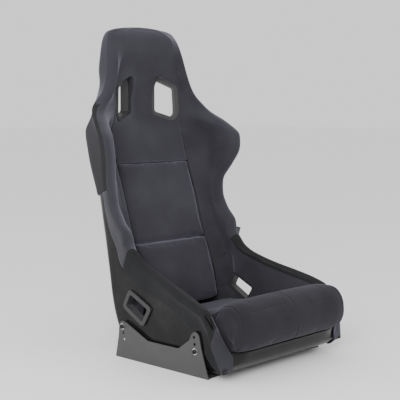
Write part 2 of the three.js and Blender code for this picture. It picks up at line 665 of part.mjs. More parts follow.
function headOutline(s) {
  const sec = section(s);
  const centre = centreLevel(s);
  const level = grooveLevel(s);
  const back = lobePath(sec);
  const end = new THREE.Vector2(Math.min(sec.edge + wrapInset, back[3].x - 3), lobeBack(s));
  const lap = rearLap(s);
  const controls = [
    new THREE.Vector2(0, centre), new THREE.Vector2(rampStart * 0.9, centre + (level - centre) * 0.06),
    new THREE.Vector2((rampStart + sec.edge) / 2, centre + (level - centre) * 0.5),
    new THREE.Vector2(sec.edge, level), ...crestPoints(s, 0),
  ];
  const half = [
    ...new THREE.SplineCurve(controls).getPoints(facePoints + 3), ...back, end,
    new THREE.Vector2(sec.edge * 0.97, sec.rise + lap), new THREE.Vector2(rampStart, lap),
    new THREE.Vector2(0, lap),
  ];
  return both(half);
}

function upperPad() {
  const positions = rows(sewnAfter(neckSeam), lastStation);
  const outlines = positions.map(headOutline);
  const rings = ringsAt(positions, outlines);
  const top = rings[rings.length - 1];
  const middle = middleOf(top);
  const shrunk = (share, rise) => top.map(p => {
    const q = middle.clone().lerp(p, share);
    q.z += rise;
    return q;
  });
  const crown = [shrunk(0.96, 4), shrunk(0.82, 7.5), shrunk(0.6, 9)];
  const head = loft([...rings, ...crown], outlines[0], outlines[outlines.length - 1]);
  const chest = stationLoft(rows(chestSeam - 0.35, neckSeam + 0.3),
    s => chestOutline(s, s > neckSeam ? 1 : 0));
  // Its lower end is square to the shell, like the end of the cushion below it.
  const seam = sewnAfter(chestSeam);
  const [behind, ahead] = [-40, 140];
  const below = prism([spinePoint(seam, behind), spinePoint(seam, ahead), spinePoint(seam - 2, ahead),
    spinePoint(seam - 2, behind)], [], -hipHalfWidth, hipHalfWidth, acrossX);
  let body = head.add(chest).subtract(swollenShell).subtract(below);
  for (const side of [1, -1]) {
    [slotPocket, slotCut, rearPocket].forEach(cutter => { body = body.subtract(sided(cutter, side)); });
  }
  return body;
}

// ---------------------------------------------------------------- loose cushions

// A side view of the shell's inside on the centre line, raised off it by a distance.
function spinePoint(s, lift) {
  const here = new THREE.Vector2(spineY(s), spineZ(s));
  const [rise, run] = [spineZ(s + 0.1) - spineZ(s - 0.1), spineY(s + 0.1) - spineY(s - 0.1)];
  return here.add(new THREE.Vector2(-rise, run).normalize().multiplyScalar(lift));
}

// Seat cushion: a side view swept sideways, crowned in the middle and drawn in at the ends.
const seatRear = [313, 118];
const seatBend = 180;             // behind this, the ends are drawn forward
const seatTop = [[296, 121], [240, 133], [150, 155], [60, 179], [0, 193], [-30, 200], [-60, 200]];
const seatFront = [[-86, 189], [-102, 167], [-109, 138], [-107, 110], [-99, 91]];
const seatLip = [[-88, 84], [-60, 84]];
const cushionEndsIn = along([[0, 0], [0.72, 0], [0.9, 3], [1, 11]]);
// How far its sides spread in front of the hips, along its top and along its underside.
const topSpread = along([[-70, 44], [-45, 39], [-25, 31], [0, 23], [40, 14], [90, 8], [140, 6], [200, 6]]);
const lowSpread = along([[-100, 37], [-85, 32], [-60, 24], [-40, 17], [-20, 12], [0, 8], [60, 2], [140, 0]]);
const seatRearAt = along([[0, seatRear[0]], [0.77, seatRear[0]], [0.91, seatRear[0] - 17],
  [1, seatRear[0] - 55]]);

function seatCushion() {
  const under = [1.35, 1.7, 2, 2.5, 3, 4, 5, 5.6].map(s => spinePoint(s, cushionLift));
  const rearFoot = new THREE.Vector2(seatRear[0], spinePoint(6, cushionLift).y + 4);
  const v = ([y, z]) => new THREE.Vector2(y, z);
  const side = [...under, rearFoot, v(seatRear), ...seatTop.map(v), ...seatFront.map(v), ...seatLip.map(v)];
  const topFrom = under.length + 2;
  const frontFrom = topFrom + seatTop.length;
  const lipFrom = side.length - 2;
  const ringAt = share => {
    const inset = cushionEndsIn(Math.abs(share));
    const rear = seatRearAt(Math.abs(share));
    const crown = crownHeight * (1 - share * share);
    return side.map((p, i) => {
      let [y, z] = [p.x, p.y];
      if (y > seatBend) y = seatBend + (y - seatBend) * (rear - seatBend) / (seatRear[0] - seatBend);
      if (i >= topFrom && i < frontFrom) z += crown - inset * 0.8;
      if (i >= frontFrom && i < lipFrom) y += inset - crown * 0.5;
      if (i < under.length) z += inset * 0.3;
      if (i >= lipFrom) z += inset * 0.4;
      const spread = i < topFrom || i >= lipFrom - 1 ? lowSpread(p.x) : topSpread(p.x);
      return new THREE.Vector3(share * (seatHalfWidth + spread), y, z);
    });
  };
  const shares = [-1, -0.97, -0.9, -0.72, -0.4, 0, 0.4, 0.72, 0.9, 0.97, 1];
  const rings = shares.map(ringAt);
  const flat = ring => ring.map(p => new THREE.Vector2(p.y, p.z));
  // An end is faced across, from each point of its underside to the point of its top above it.
  const pairs = steps(0, side.length / 2 - 1, side.length / 2).map(i =>
    [(topFrom - 2 - i + side.length) % side.length, topFrom - 1 + i]);
  const faces = pairs.slice(1).flatMap(([low, high], i) =>
    [[pairs[i][0], low, high], [pairs[i][0], high, pairs[i][1]]]);
  return loft(rings, flat(rings[0]), flat(rings[rings.length - 1]), faces);
}

// Where the cushions' front face is, straight out from the shell.
function faceLift(s) {
  const base = spinePoint(s, 0);
  const out = spinePoint(s, 1).sub(base);
  for (let i = 0; i < cushionFace.length - 1; i++) {
    const { x: ay, y: az } = cushionFace[i];
    const [dy, dz] = [cushionFace[i + 1].x - ay, cushionFace[i + 1].y - az];
    const cross = out.x * dz - out.y * dy;
    const t = ((ay - base.x) * out.y - (az - base.y) * out.x) / cross;
    const depth = ((ay - base.x) * dz - (az - base.y) * dy) / cross;
    if (t >= -0.001 && t <= 1.001 && depth > 0) return depth;
  }
  return 50;
}

// A back or lumbar cushion between two positions on the spine.
function backCushion(from, to) {
  const half = backHalfWidth - seamGap;
  const positions = rows(from, to);
  const count = positions.length;
  const outlineAt = (s, share) => {
    const lift = faceLift(s);
    const endDrop = share < 0.02 || share > 0.98 ? sewnDrop : 0;
    const crown = crownHeight * (1 - (2 * share - 1) ** 2) * 0.8;
    const top = x => lift - endDrop + crown * (1 - (x / half) ** 2);
    const right = [[0, top(0)], [half * 0.45, top(half * 0.45)], [half * 0.8, top(half * 0.8)],
      [half - sewnRadius * 1.6, lift - endDrop - 0.5], [half - 1, lift - endDrop - sewnRadius],
      [half, lift * 0.5], [half - 1.5, cushionLift], [half * 0.4, cushionLift], [0, cushionLift]];
    return both(right.map(([x, y]) => new THREE.Vector2(x, y)));
  };
  const ends = [from + stationsFor(from, sewnDrop), to - stationsFor(to, sewnDrop)];
  const stops = [[positions[0], 0], [ends[0], 0.05],
    ...positions.slice(1, -1).map((s, i) => [s, (i + 1) / (count - 1)]),
    [ends[1], 0.95], [positions[count - 1], 1]];
  const outlines = stops.map(([s, share]) => outlineAt(s, share));
  const rings = outlines.map((outline, i) => {
    const base = spinePoint(stops[i][0], 0);
    const out = spinePoint(stops[i][0], 1).sub(base);
    return outline.map(p => new THREE.Vector3(p.x, base.x + out.x * p.y, base.y + out.y * p.y));
  });
  return loft(rings, outlines[0], outlines[outlines.length - 1]);
}

const backSplit = 10.95;          // between the two back cushions
const backFoot = 8.22;

// Hook-and-loop strips between a cushion and the shell.
function strip(s, halfLength) {
  const [low, high] = [spinePoint(Math.floor(s), 0), spinePoint(Math.ceil(s), 0)];
  const middle = low.clone().lerp(high, s - Math.floor(s));
  const chord = high.clone().sub(low).normalize();
  const out = new THREE.Vector2(-chord.y, chord.x);
  const corner = (reach, lift) => middle.clone().addScaledVector(chord, reach).addScaledVector(out, lift);
  const [half, top] = [stripWidth / 2, fitGap + stripThickness];
  return prism([corner(-half, fitGap), corner(half, fitGap), corner(half, top), corner(-half, top)],
    [], -halfLength, halfLength, acrossX);
}

// ---------------------------------------------------------------- side mounts and fasteners

const mountOutline = [
  [0, 0], [368, 0], [355, 62], [352, rearHole.y + 6], [342, rearHole.y + earReach],
  [322, rearHole.y + earReach - 4], [233, 66], [112, 66], [70, 96], [62, frontRow[2].y + 8],
  [48, frontRow[2].y + earReach], [34, frontRow[2].y + 8], [28, frontHole.y + 16],
].map(([y, z]) => new THREE.Vector2(y, z));
const footEnds = [[8, 3], [360, 365]];    // y of its inner and outer corner, at the front and at the back

function footSlotOutline(centreY) {
  const x = plateInner - footWidth * 0.5;
  const radius = footSlot.width / 2;
  const straight = footSlot.length / 2 - radius;
  const cap = (middleY, start) => steps(start, start + Math.PI, 6).map(angle =>
    new THREE.Vector2(x + radius * Math.cos(angle), middleY + radius * Math.sin(angle)));
  return [...cap(centreY + straight, 0), ...cap(centreY - straight, Math.PI)].reverse();
}

function sideMount(side) {
  const holes = [...rearRow, ...frontRow].map(hole => circle(hole.x, hole.y, mountHole / 2, 14).reverse());
  const upper = rounded(mountOutline, plateCorner).slice(8);   // its two feet stay square
  const plate = prism([...mountOutline.slice(0, 2), ...upper], holes, plateInner, plateOuter, acrossX);
  const [[frontIn, frontOut], [rearIn, rearOut]] = footEnds;
  const [inner, outer] = [plateInner - footWidth, plateOuter - 0.5];
  const foot = [[inner, frontIn], [outer, frontOut], [outer, rearOut], [inner, rearIn]]
    .map(([x, y]) => new THREE.Vector2(x, y));
  const flange = prism(foot, footSlot.centres.map(footSlotOutline), 0, plateThickness, acrossZ);
  return sided(plate.add(flange), side);
}

// A turned piece on the x axis at a hole, from [radius, distance outward] pairs.
function turned(profile, hole, side, sides = 16) {
  const lathe = new THREE.LatheGeometry(profile.map(([r, x]) => new THREE.Vector2(r, x)), sides);
  lathe.deleteAttribute('normal');
  lathe.deleteAttribute('uv');
  lathe.rotateZ(-Math.PI / 2);
  lathe.translate(0, hole.x, hole.y);
  const merged = mergeVertices(lathe, 1e-3);
  return sided(solidOf(cornersOf(merged), facesOf(merged)), side);
}

const washerFrom = plateOuter + fitGap;
const headFrom = washerFrom + washerThickness + fitGap;
const boltTip = hipHalfWidth + 1;

function bolt(hole, side) {
  const r = boltHead / 2;
  const shank = boltShank / 2;
  const dome = [0.15, 0.5, 0.8, 1].map(t =>
    [r * Math.cos(t * 0.95), headFrom + boltHeadHeight * Math.sin(t * Math.PI / 2)]);
  const body = turned([[0, boltTip], [shank - 1, boltTip], [shank, boltTip + 1], [shank, headFrom],
    [r, headFrom], ...dome, [0, headFrom + boltHeadHeight]], hole, side);
  const hex = Array.from({ length: 6 }, (_, i) => {
    const angle = Math.PI / 6 + i * Math.PI / 3;
    const reach = hexAcrossFlats / 2 / Math.cos(Math.PI / 6);
    return new THREE.Vector2(hole.x + reach * Math.cos(angle), hole.y + reach * Math.sin(angle));
  });
  return body.subtract(sided(prism(hex, [], headFrom + hexFloor, headFrom + cutterReach, acrossX), side));
}

// A bored disc on the bolt's shank.
function collar(diameter, from, to, hole, side) {
  const [inner, outer] = [boltShank / 2 + fitGap, diameter / 2];
  return turned([[inner, from], [outer, from], [outer, to], [inner, to], [inner, from]], hole, side);
}
const spacerFrom = bossFace + fitGap;
const [insertFrom, insertTo] = [hipHalfWidth + 1.2, bossFace - 0.4];

// ---------------------------------------------------------------- bezels

// A collar round an opening: a band this wide, between two depths.
const slotBand = (hole, width, from, to) =>
  prism(slotOutline(width), [slotOutline(hole).reverse()], from, to, intoSlot);
const beltBand = (width, from, to) =>
  prism(beltOutline(width), [beltOutline(0).reverse()], from, to, acrossX);
const bandLap = 1;                // how far a sleeve runs into its flange
const sleeveMeeting = hipHalfWidth - 0.5;

function slotBezel(side) {
  const flange = slotBand(0, bezelRing, 0, bezelFlange);
  const sleeve = slotBand(0, bezelSleeve, bezelFlange - bandLap, rearBezelDepth + rearRingThickness);
  return sided(flange.add(sleeve), side);
}

function slotRearRing(side) {
  const to = rearBezelDepth + rearRingThickness;
  return sided(slotBand(sleeveOut, rearRing, rearBezelDepth, to), side);
}

function beltBezel(side) {
  const flange = beltBand(bezelRing, beltSeatFrom, beltFace + beltRise);
  const sleeve = beltBand(bezelSleeve, sleeveMeeting, beltSeatFrom + bandLap);
  return sided(flange.add(sleeve), side);
}

function beltInnerBezel(side) {
  const flange = beltBand(rearRing, beltInner, beltInnerBack);
  const sleeve = beltBand(bezelSleeve, beltInnerBack - bandLap, sleeveMeeting - fitGap);
  return sided(flange.add(sleeve), side);
}

// A folded woven tab sewn into the rim of the occupant's left side.
const tab = { at: 9.1, below: 12, halfLength: 9, halfHeight: 6, thickness: 1.6 };

function sideTab() {
  const sec = section(tab.at);
  const out = sec.rim.x + shellWall + flapThickness + fitGap + 0.2;
  const base = place(sec, out, sec.crest - rimFoam - tab.below);
  const outline = [[-1, -1], [1, -1], [1, 1], [-1, 1]].map(([y, z]) =>
    new THREE.Vector2(base.y + y * tab.halfLength, base.z + z * tab.halfHeight));
  return prism(outline, [], base.x, base.x + tab.thickness, acrossX);
}

// ---------------------------------------------------------------- assembly

const finishes = {
  fabric: { color: 0x3b3b42, roughness: 0.9, metalness: 0 },
  laminate: { color: 0x1b1c1e, roughness: 0.2, metalness: 0 },
  steel: { color: 0x55585a, roughness: 0.45, metalness: 0.6 },
  bezel: { color: 0x5c5c60, roughness: 0.6, metalness: 0 },
  blackBolt: { color: 0x141414, roughness: 0.4, metalness: 0.7 },
  zinc: { color: 0xc9cbcc, roughness: 0.25, metalness: 1 },
  loop: { color: 0x1a1a1c, roughness: 1, metalness: 0 },
  brass: { color: 0xb59a5b, roughness: 0.4, metalness: 0.9 },
};

const seat = new THREE.Group();

function addPart(name, solid, finish) {
  const mesh = solid.getMesh();
  const geometry = new THREE.BufferGeometry();
  geometry.setAttribute('position', new THREE.Float32BufferAttribute(mesh.vertProperties, 3));
  geometry.setIndex(Array.from(mesh.triVerts));
  const node = new THREE.Mesh(geometry, new THREE.MeshStandardMaterial(finishes[finish]));
  node.name = name;
  seat.add(node);
}

addPart('shell', shell(), 'laminate');
addPart('upper_back_pad', upperPad(), 'fabric');
for (const [word, side] of [['left', 1], ['right', -1]]) {
  addPart(`wing_pad_${word}`, wingPad(side), 'fabric');
  addPart(`torso_bolster_${word}`, torsoPad(side), 'fabric');
  addPart(`thigh_bolster_${word}`, thighPad(side), 'fabric');
  addPart(`harness_bezel_${word}`, slotBezel(side), 'bezel');
  addPart(`harness_rear_ring_${word}`, slotRearRing(side), 'bezel');
  addPart(`lap_belt_bezel_${word}`, beltBezel(side), 'bezel');
  addPart(`lap_belt_inner_bezel_${word}`, beltInnerBezel(side), 'bezel');
  addPart(`side_mount_${word}`, sideMount(side), 'steel');
  for (const { name, hole } of mounts) {
    addPart(`bolt_${name}_${word}`, bolt(hole, side), 'blackBolt');
    const washer = collar(washerDiameter, washerFrom, washerFrom + washerThickness, hole, side);
    const spacer = collar(spacerDiameter, spacerFrom, spacerFrom + spacerLength, hole, side);
    addPart(`washer_${name}_${word}`, washer, 'zinc');
    addPart(`spacer_${name}_${word}`, spacer, 'zinc');
    addPart(`insert_${name}_${word}`, collar(insertDiameter, insertFrom, insertTo, hole, side), 'brass');
  }
}
addPart('seat_cushion', seatCushion(), 'fabric');
const splitGap = stationsFor(backSplit, seamGap * 2);
addPart('back_cushion', backCushion(backSplit + splitGap, sewnBefore(chestSeam)), 'fabric');
addPart('lumbar_cushion', backCushion(backFoot, backSplit - splitGap), 'fabric');
addPart('seat_strip_front', strip(3.5, 120), 'loop');
addPart('seat_strip_rear', strip(4.5, 120), 'loop');
addPart('back_strip', strip(11.5, 100), 'loop');
addPart('lumbar_strip', strip(9.5, 100), 'loop');
addPart('side_tab', sideTab(), 'loop');

// The frame's origin is the middle of the seat's floor area.
const extent = new THREE.Box3().setFromObject(seat);
const middleY = (extent.min.y + extent.max.y) / 2;
seat.children.forEach(node => node.geometry.translate(0, -middleY, -extent.min.z));

export default seat;
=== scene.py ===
import math

import bmesh
import bpy
import numpy as np
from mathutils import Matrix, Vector
from mathutils.kdtree import KDTree


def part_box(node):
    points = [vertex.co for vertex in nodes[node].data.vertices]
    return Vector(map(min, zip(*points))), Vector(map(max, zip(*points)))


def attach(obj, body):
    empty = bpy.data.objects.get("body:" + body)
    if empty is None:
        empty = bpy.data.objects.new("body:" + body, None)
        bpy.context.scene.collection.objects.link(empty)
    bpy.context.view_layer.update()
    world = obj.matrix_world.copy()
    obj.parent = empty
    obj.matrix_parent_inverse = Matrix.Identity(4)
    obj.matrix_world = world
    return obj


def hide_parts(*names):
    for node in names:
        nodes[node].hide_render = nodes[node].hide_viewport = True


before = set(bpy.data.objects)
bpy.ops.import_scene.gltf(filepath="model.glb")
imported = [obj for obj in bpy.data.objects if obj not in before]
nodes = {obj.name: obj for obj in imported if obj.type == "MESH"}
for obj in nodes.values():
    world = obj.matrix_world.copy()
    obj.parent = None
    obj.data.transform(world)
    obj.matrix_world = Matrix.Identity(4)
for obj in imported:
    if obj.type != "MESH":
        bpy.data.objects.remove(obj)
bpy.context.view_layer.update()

MM = 0.001
FRAME_BODY = "frame"

# ------------------------------------------------------------------ form of the bucket
# Each row is a plane across the seat: inside of the shell on the centre line (y, z), crest of the fabric
# on the rim (y, z), and how far the rim stands outside the hip wall. Millimetres from the brackets' front.

HIP = 228.0
WALL = 5.0
FLAP = 7.0
RIM_FOAM = 12.0
ROLL = 36.0
BACK_HALF = 152.0
SEAM_GAP = 1.0
ROWS = [
    (-76, 80, -22, 186, 38), (-62, 46, 8, 197, 43), (-30, 24, 40, 208, 41), (60, 18, 95, 224, 31),
    (150, 18, 150, 239, 17), (240, 20, 205, 256, 5), (310, 28, 250, 271, 2), (360, 55, 283, 288, 3),
    (388, 105, 305, 309, 6), (403, 160, 325, 332, 9), (415, 230, 331, 364, 11), (430, 310, 364, 402, 12),
    (450, 390, 386, 450, 12), (475, 470, 388, 490, 16), (497, 540, 368, 538, 36), (515, 600, 350, 590, 54),
    (528, 650, 354, 632, 58), (534, 700, 392, 672, 41), (536, 745, 442, 715, 0), (537, 790, 452, 768, -54),
    (537, 840, 461, 834, -77), (537, 890, 475, 893, -86), (535, 926, 489, 929, -94), (529, 949, 502, 951, -107),
    (520, 958, 503, 959, -131),
]
LAST = len(ROWS) - 1
THIGH_SEAM = 8.4
WING_SEAM = 12.85
NECK_SEAM = 18.2
CHEST_SEAM = 14.03
SHIFT_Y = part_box("side_mount_left")[0].y / MM      # from the brackets' front to the frame's origin


def along(pairs):
    """A smooth value through (position, value) pairs that never overshoots them."""
    xs = [p[0] for p in pairs]
    ys = [p[1] for p in pairs]
    slopes = [(ys[i + 1] - ys[i]) / (xs[i + 1] - xs[i]) for i in range(len(xs) - 1)]
    tangents = [slopes[0]]
    for a, b in zip(slopes, slopes[1:]):
        tangents.append(0.0 if a * b <= 0 else 2 * a * b / (a + b))
    tangents.append(slopes[-1])

    def value(position):
        p = min(max(position, xs[0]), xs[-1])
        i = 0
        while i < len(xs) - 2 and p > xs[i + 1]:
            i += 1
        h = xs[i + 1] - xs[i]
        t = (p - xs[i]) / h
        return (ys[i] * (2 * t**3 - 3 * t**2 + 1) + h * tangents[i] * (t**3 - 2 * t**2 + t)
                + ys[i + 1] * (3 * t**2 - 2 * t**3) + h * tangents[i + 1] * (t**3 - t**2))

    return value


spine_y, spine_z, rim_y, rim_z, flare = (
    along([(i, row[k]) for i, row in enumerate(ROWS)]) for k in range(5))
corner_out = along([(0, 32), (1, 21), (1.8, 4), (2.2, 0), (12, 0), (13, -4), (14, -3), (15, -8), (16, -12),
                    (17, -42), (18, -68), (19, -76), (20, -84), (21, -96), (22, -104), (23, -119), (24, -139)])
corner_round = along([(0, 26), (6, 28), (8, 34), (10, 33), (12, 44), (14, 60), (15, 66), (16, 60), (17, 20),
                      (18, 10), (20, 14), (24, 12)])
to_back = along([(0, 0), (5.5, 0), (6, 0.087), (6.5, 0.457), (7, 0.826), (7.5, 0.978), (8, 1), (24, 1)])
to_head = along([(0, 0), (15, 0), (17, 1), (24, 1)])
head_narrow = along([(16, 0), (17, 0.066), (19, 0.092), (20, 0.237), (21, 0.316), (22, 0.368), (23, 0.487),
                     (24, 0.632)])
front_spread = along([(0, 33), (1, 24), (2, 10), (3, 3), (4.5, 0), (24, 0)])
ramp_rise = along([(16, 0), (16.5, 18), (17, 40), (18, 44), (19, 42), (19.5, 24), (20, 0), (24, 0)])
flare_power = along([(0, 2), (1, 2.6), (2, 3.6), (3, 3.4), (4, 2.4), (8, 2), (11, 1), (24, 1)])
RAMP_START = 40.0
SEAT_GROOVE = HIP - 29
HEAD_GROOVE = HIP - 76


def groove_at(s):
    """Half width of the middle of the seat, then of the back, then of the head."""
    lower = SEAT_GROOVE + front_spread(s) + (BACK_HALF - SEAT_GROOVE) * to_back(s)
    return (lower + (HEAD_GROOVE - lower) * to_head(s)) * (1 - head_narrow(s))


class Section:
    """One plane across the seat: x is sideways, d runs from the spine towards the rim."""

    def __init__(self, s):
        self.s = s
        self.spine = np.array([spine_y(s), spine_z(s)])
        up = np.array([rim_y(s), rim_z(s)]) - self.spine
        self.crest = float(np.hypot(*up))
        self.up = up / self.crest
        self.rim_x = HIP + flare(s) - 2
        self.rim_d = self.crest - RIM_FOAM
        self.edge = groove_at(s)
        self.rise = ramp_rise(s)
        slope = self.rise / (self.edge - RAMP_START)
        corner_x = HIP + corner_out(s)
        self.corner = np.array([corner_x, slope * (corner_x - RAMP_START)])
        inward = np.array([-1.0, -slope]) / math.hypot(1, slope)
        height = math.hypot(self.rim_x - corner_x, self.rim_d - self.corner[1])
        reach = min(corner_round(s), corner_x - self.edge - 3, height * 0.7)
        self.foot = self.corner + inward * reach
        self.start = reach / height

    def lean(self, t):
        return np.array([self.corner[0] + (self.rim_x - self.corner[0]) * t ** flare_power(self.s),
                         self.corner[1] + (self.rim_d - self.corner[1]) * t])

    def inside(self, q):
        """Inside of the shell: 0 centre, 1 ramp, 2 groove, 3 to 6 the corner's bend, 9 the rim."""
        if q <= 1:
            return np.array([RAMP_START * q, 0.0])
        if q <= 2:
            return np.array([RAMP_START + (self.edge - RAMP_START) * (q - 1), self.rise * (q - 1)])
        groove = np.array([self.edge, self.rise])
        if q <= 3:
            return groove + (self.foot - groove) * (q - 2)
        if q <= 6:
            t = (q - 3) / 3
            return self.foot * (1 - t) ** 2 + self.corner * 2 * t * (1 - t) + self.lean(self.start) * t**2
        return self.lean(self.start + (1 - self.start) * (q - 6) / 3)

    def off(self, q, distance):
        """A point outside the shell's inside face, by a distance."""
        step = 0.04
        ahead = self.inside(min(q + step, 9.0)) - self.inside(max(q - step, 0.0))
        ahead /= np.hypot(*ahead)
        return self.inside(q) + np.array([ahead[1], -ahead[0]]) * distance

    def wall_x(self, d):
        """Inside face of the side wall at a depth."""
        t = min(max((d - self.corner[1]) / (self.rim_d - self.corner[1]), 0.0), 1.0)
        return self.lean(t)[0]

    def place(self, point):
        return np.array([point[0], self.spine[0] + self.up[0] * point[1] + SHIFT_Y,
                         self.spine[1] + self.up[1] * point[1]])


def spine_point(s, lift=0.0):
    """A point on the centre line's inside, raised off the shell, as (y, z) in the frame."""
    a = np.array([spine_y(s - 0.05), spine_z(s - 0.05)])
    b = np.array([spine_y(s + 0.05), spine_z(s + 0.05)])
    t = (b - a) / np.hypot(*(b - a))
    return np.array([spine_y(s) - t[1] * lift + SHIFT_Y, spine_z(s) + t[0] * lift])


def square_out(s):
    """The direction square to the shell at a station, evened out over its neighbours, as (y, z)."""
    a = np.array([spine_y(s - 0.6), spine_z(s - 0.6)])
    b = np.array([spine_y(s + 0.6), spine_z(s + 0.6)])
    t = (b - a) / np.hypot(*(b - a))
    return np.array([-t[1], t[0]])


def lifted(s, distance):
    """A point a distance off the shell on the centre line, as (y, z) in the frame."""
    return spine_point(s) + square_out(s) * distance


def stations_for(s, distance):
    """How many stations a distance along the centre line is, in millimetres."""
    return 0.2 * distance / np.hypot(*(spine_point(s + 0.2) - spine_point(s)))


def catmull(points, per):
    """A smooth open curve through points, per steps in each span."""
    n = len(points)
    found = []
    for i in range(n - 1):
        p0, p1, p2, p3 = points[max(i - 1, 0)], points[i], points[i + 1], points[min(i + 2, n - 1)]
        for k in range(per):
            t = k / per
            found.append(0.5 * ((2 * p1) + (p2 - p0) * t + (2 * p0 - 5 * p1 + 4 * p2 - p3) * t**2
                                + (3 * p1 - p0 - 3 * p2 + p3) * t**3))
    found.append(points[-1])
    return np.array(found)


def resample(points, count):
    """count points evenly along a polyline."""
    points = np.asarray(points, float)
    gaps = np.linalg.norm(np.diff(points, axis=0), axis=1)
    where = np.concatenate([[0], np.cumsum(gaps)])
    wanted = np.linspace(0, where[-1], count)
    return np.stack([np.interp(wanted, where, points[:, k]) for k in range(points.shape[1])], axis=1)


# ------------------------------------------------------------------ pads on the rim

CUSHION_FACE = catmull([np.array(p, float) for p in [
    (319, 96), (322, 120), (338, 205), (362, 275), (388, 335), (422, 448), (460, 553), (480, 600)]], 8)


def depth_to_face(start, ahead, slack=0.0, beyond=60.0):
    """How far ahead of a point the front face of the loose cushions lies; beyond is for past its ends."""
    for (ay, az), (by, bz) in zip(CUSHION_FACE, CUSHION_FACE[1:]):
        dy, dz = by - ay, bz - az
        cross = ahead[0] * dz - ahead[1] * dy
        t = ((ay - start[0]) * ahead[1] - (az - start[1]) * ahead[0]) / cross
        depth = ((ay - start[0]) * dz - (az - start[1]) * dy) / cross
        if -slack <= t <= 1 + slack and depth > 0:
            return depth
    return beyond


def face_depth(sec):
    """Depth in a section at which it meets the front face of the loose cushions."""
    return depth_to_face(sec.spine, sec.up)


upper_edge = along([(14, 42), (15, 40), (16, 40), (17, 53), (18, 58), (19, 57), (20, 52), (21, 60), (22, 55),
                    (23, 38), (24, 24)])
centre_level = along([(14, 47), (15, 45), (16, 34), (17, 18), (18, 18), (19, 27), (20, 42), (21, 57), (22, 53),
                      (23, 38), (24, 22)])
seat_level = along([(0, 8), (5.5, 10), (6.5, 34), (7.5, face_depth(Section(7.5)))])
wall_pad = along([(0, 16), (1, 16), (2, 15), (3, 18), (4, 20), (5, 14), (6, 13), (7, 15), (8, 24), (9, 34),
                  (11, 47), (13, 50), (14, 42), (15, 32), (16, 28), (18, 26), (20, 22), (24, 12)])
roll_share = along([(0, 0.6), (1, 0.75), (2, 0.9), (3, 1), (4, 0.84), (8, 0.84), (9, 1), (16, 1), (18, 0.9),
                    (20, 0.75), (22, 0.65), (24, 0.4)])
roll_dip = along([(0, 1), (16, 1), (18, 0.8), (19, 0.5), (20, 0.1), (24, 0)])
flap_end = along([(0, 3.4), (1.5, 3.6), (2, 4.4), (2.6, 7), (3, 7.6), (4, 8.2), (5, 8.25), (6, 8.2), (9, 8.0),
                  (11, 7.6), (12, 7.4), (13, 7.2)])
lobe_out = along([(12, 10), (13, 7), (14, 8), (15, 5), (16, -2), (17, -32), (18, -53), (19, -63), (20, -71),
                  (21, -80), (22, -88), (23, -101), (24, -121)])
lobe_back = along([(12, -11), (16, -11), (17, 2), (18, 6), (19, 4), (20, -10), (24, -11)])
lobe_round = along([(12, 58), (13, 66), (14, 70), (15, 73), (16, 66), (18, 30), (20, 24), (24, 14)])
WRAP_INSET = 16.0
SEWN = 4.0


def groove_level(sec):
    """Depth of the pads' face at the groove beside the middle."""
    if sec.s >= 14:
        return upper_edge(sec.s)
    return face_depth(sec) if sec.s >= 7.5 else seat_level(sec.s)


def crest_points(sec, gap):
    """The face of a rim pad, from its side wall over the crest to the outside."""
    level = groove_level(sec)
    roll = ROLL * roll_share(sec.s)
    dip = roll_dip(sec.s)

    def rise(f):
        return level + f * (sec.crest - level)

    def v(x, y):
        """A control point, kept outside the groove."""
        return np.array([max(x, sec.edge + gap + SEWN + 1), y])

    low = rise(0.25)
    out = WALL + FLAP
    sewn = np.array([
        v(sec.wall_x(low) - wall_pad(sec.s), low),
        v(sec.wall_x(rise(0.6)) - (wall_pad(sec.s) + roll) / 2, rise(0.6)),
        v(sec.rim_x - roll, sec.crest - RIM_FOAM * (0.25 + 0.9 * dip)),
        v(sec.rim_x - roll * 0.6, sec.crest - RIM_FOAM * (0.1 + 0.2 * dip)),
        v(sec.rim_x - roll * 0.1, sec.crest),
        v(sec.rim_x + out * 0.75, sec.crest - RIM_FOAM * 0.5),
        v(sec.rim_x + out, sec.crest - RIM_FOAM - 6),
    ])
    even = even_share(sec.s)
    if even == 0:
        return list(sewn)
    start, top = sec.edge, sec.rim_x - 3
    climb = [v(start + (top - start) * x, level + (sec.crest - level) * d)
             for x, d in ((0.22, 0.2), (0.45, 0.46), (0.68, 0.74), (0.86, 0.93))]
    drop = min(30.0, sec.crest * 0.45)
    smooth_head = np.array(climb + [v(top, sec.crest - 1.0), v(sec.rim_x + out * 0.62, sec.crest - drop * 0.36),
                                    v(sec.rim_x + out, sec.crest - drop)])
    return list(sewn + (smooth_head - sewn) * even)


# How far the head's form, one even slope from its middle to its crest, replaces the wings' sewn roll.
even_share = along([(0, 0), (16.2, 0), (17.2, 0.35), (18.4, 1), (24, 1)])
# How deep the groove beside the chest is: it fades out beside the harness slots.
groove_share = along([(0, 1), (15.4, 1), (17.4, 0.12), (18.2, 0), (24, 0)])
# How far a wing's face is drawn as one curve with the chest.
joined_share = along([(0, 0), (14, 0), (17.2, 1), (24, 1)])

PER = 10
INNER_COUNT, ROLL_COUNT, OUTER_COUNT, HIDDEN_COUNT = 30, 26, 30, 14
INNER_SEAM = INNER_COUNT - 1                     # grid column of the seam at the roll's inner side
ROLL_SEAM = INNER_COUNT + ROLL_COUNT - 2         # grid column of the seam outside the crest


def middle_controls(sec, edge):
    centre, level = centre_level(sec.s), groove_level(sec)
    return [np.array([0.0, centre]), np.array([RAMP_START * 0.9, centre + (level - centre) * 0.06]),
            np.array([(RAMP_START + sec.edge) / 2, centre + (level - centre) * 0.5]),
            np.array([edge, level])]


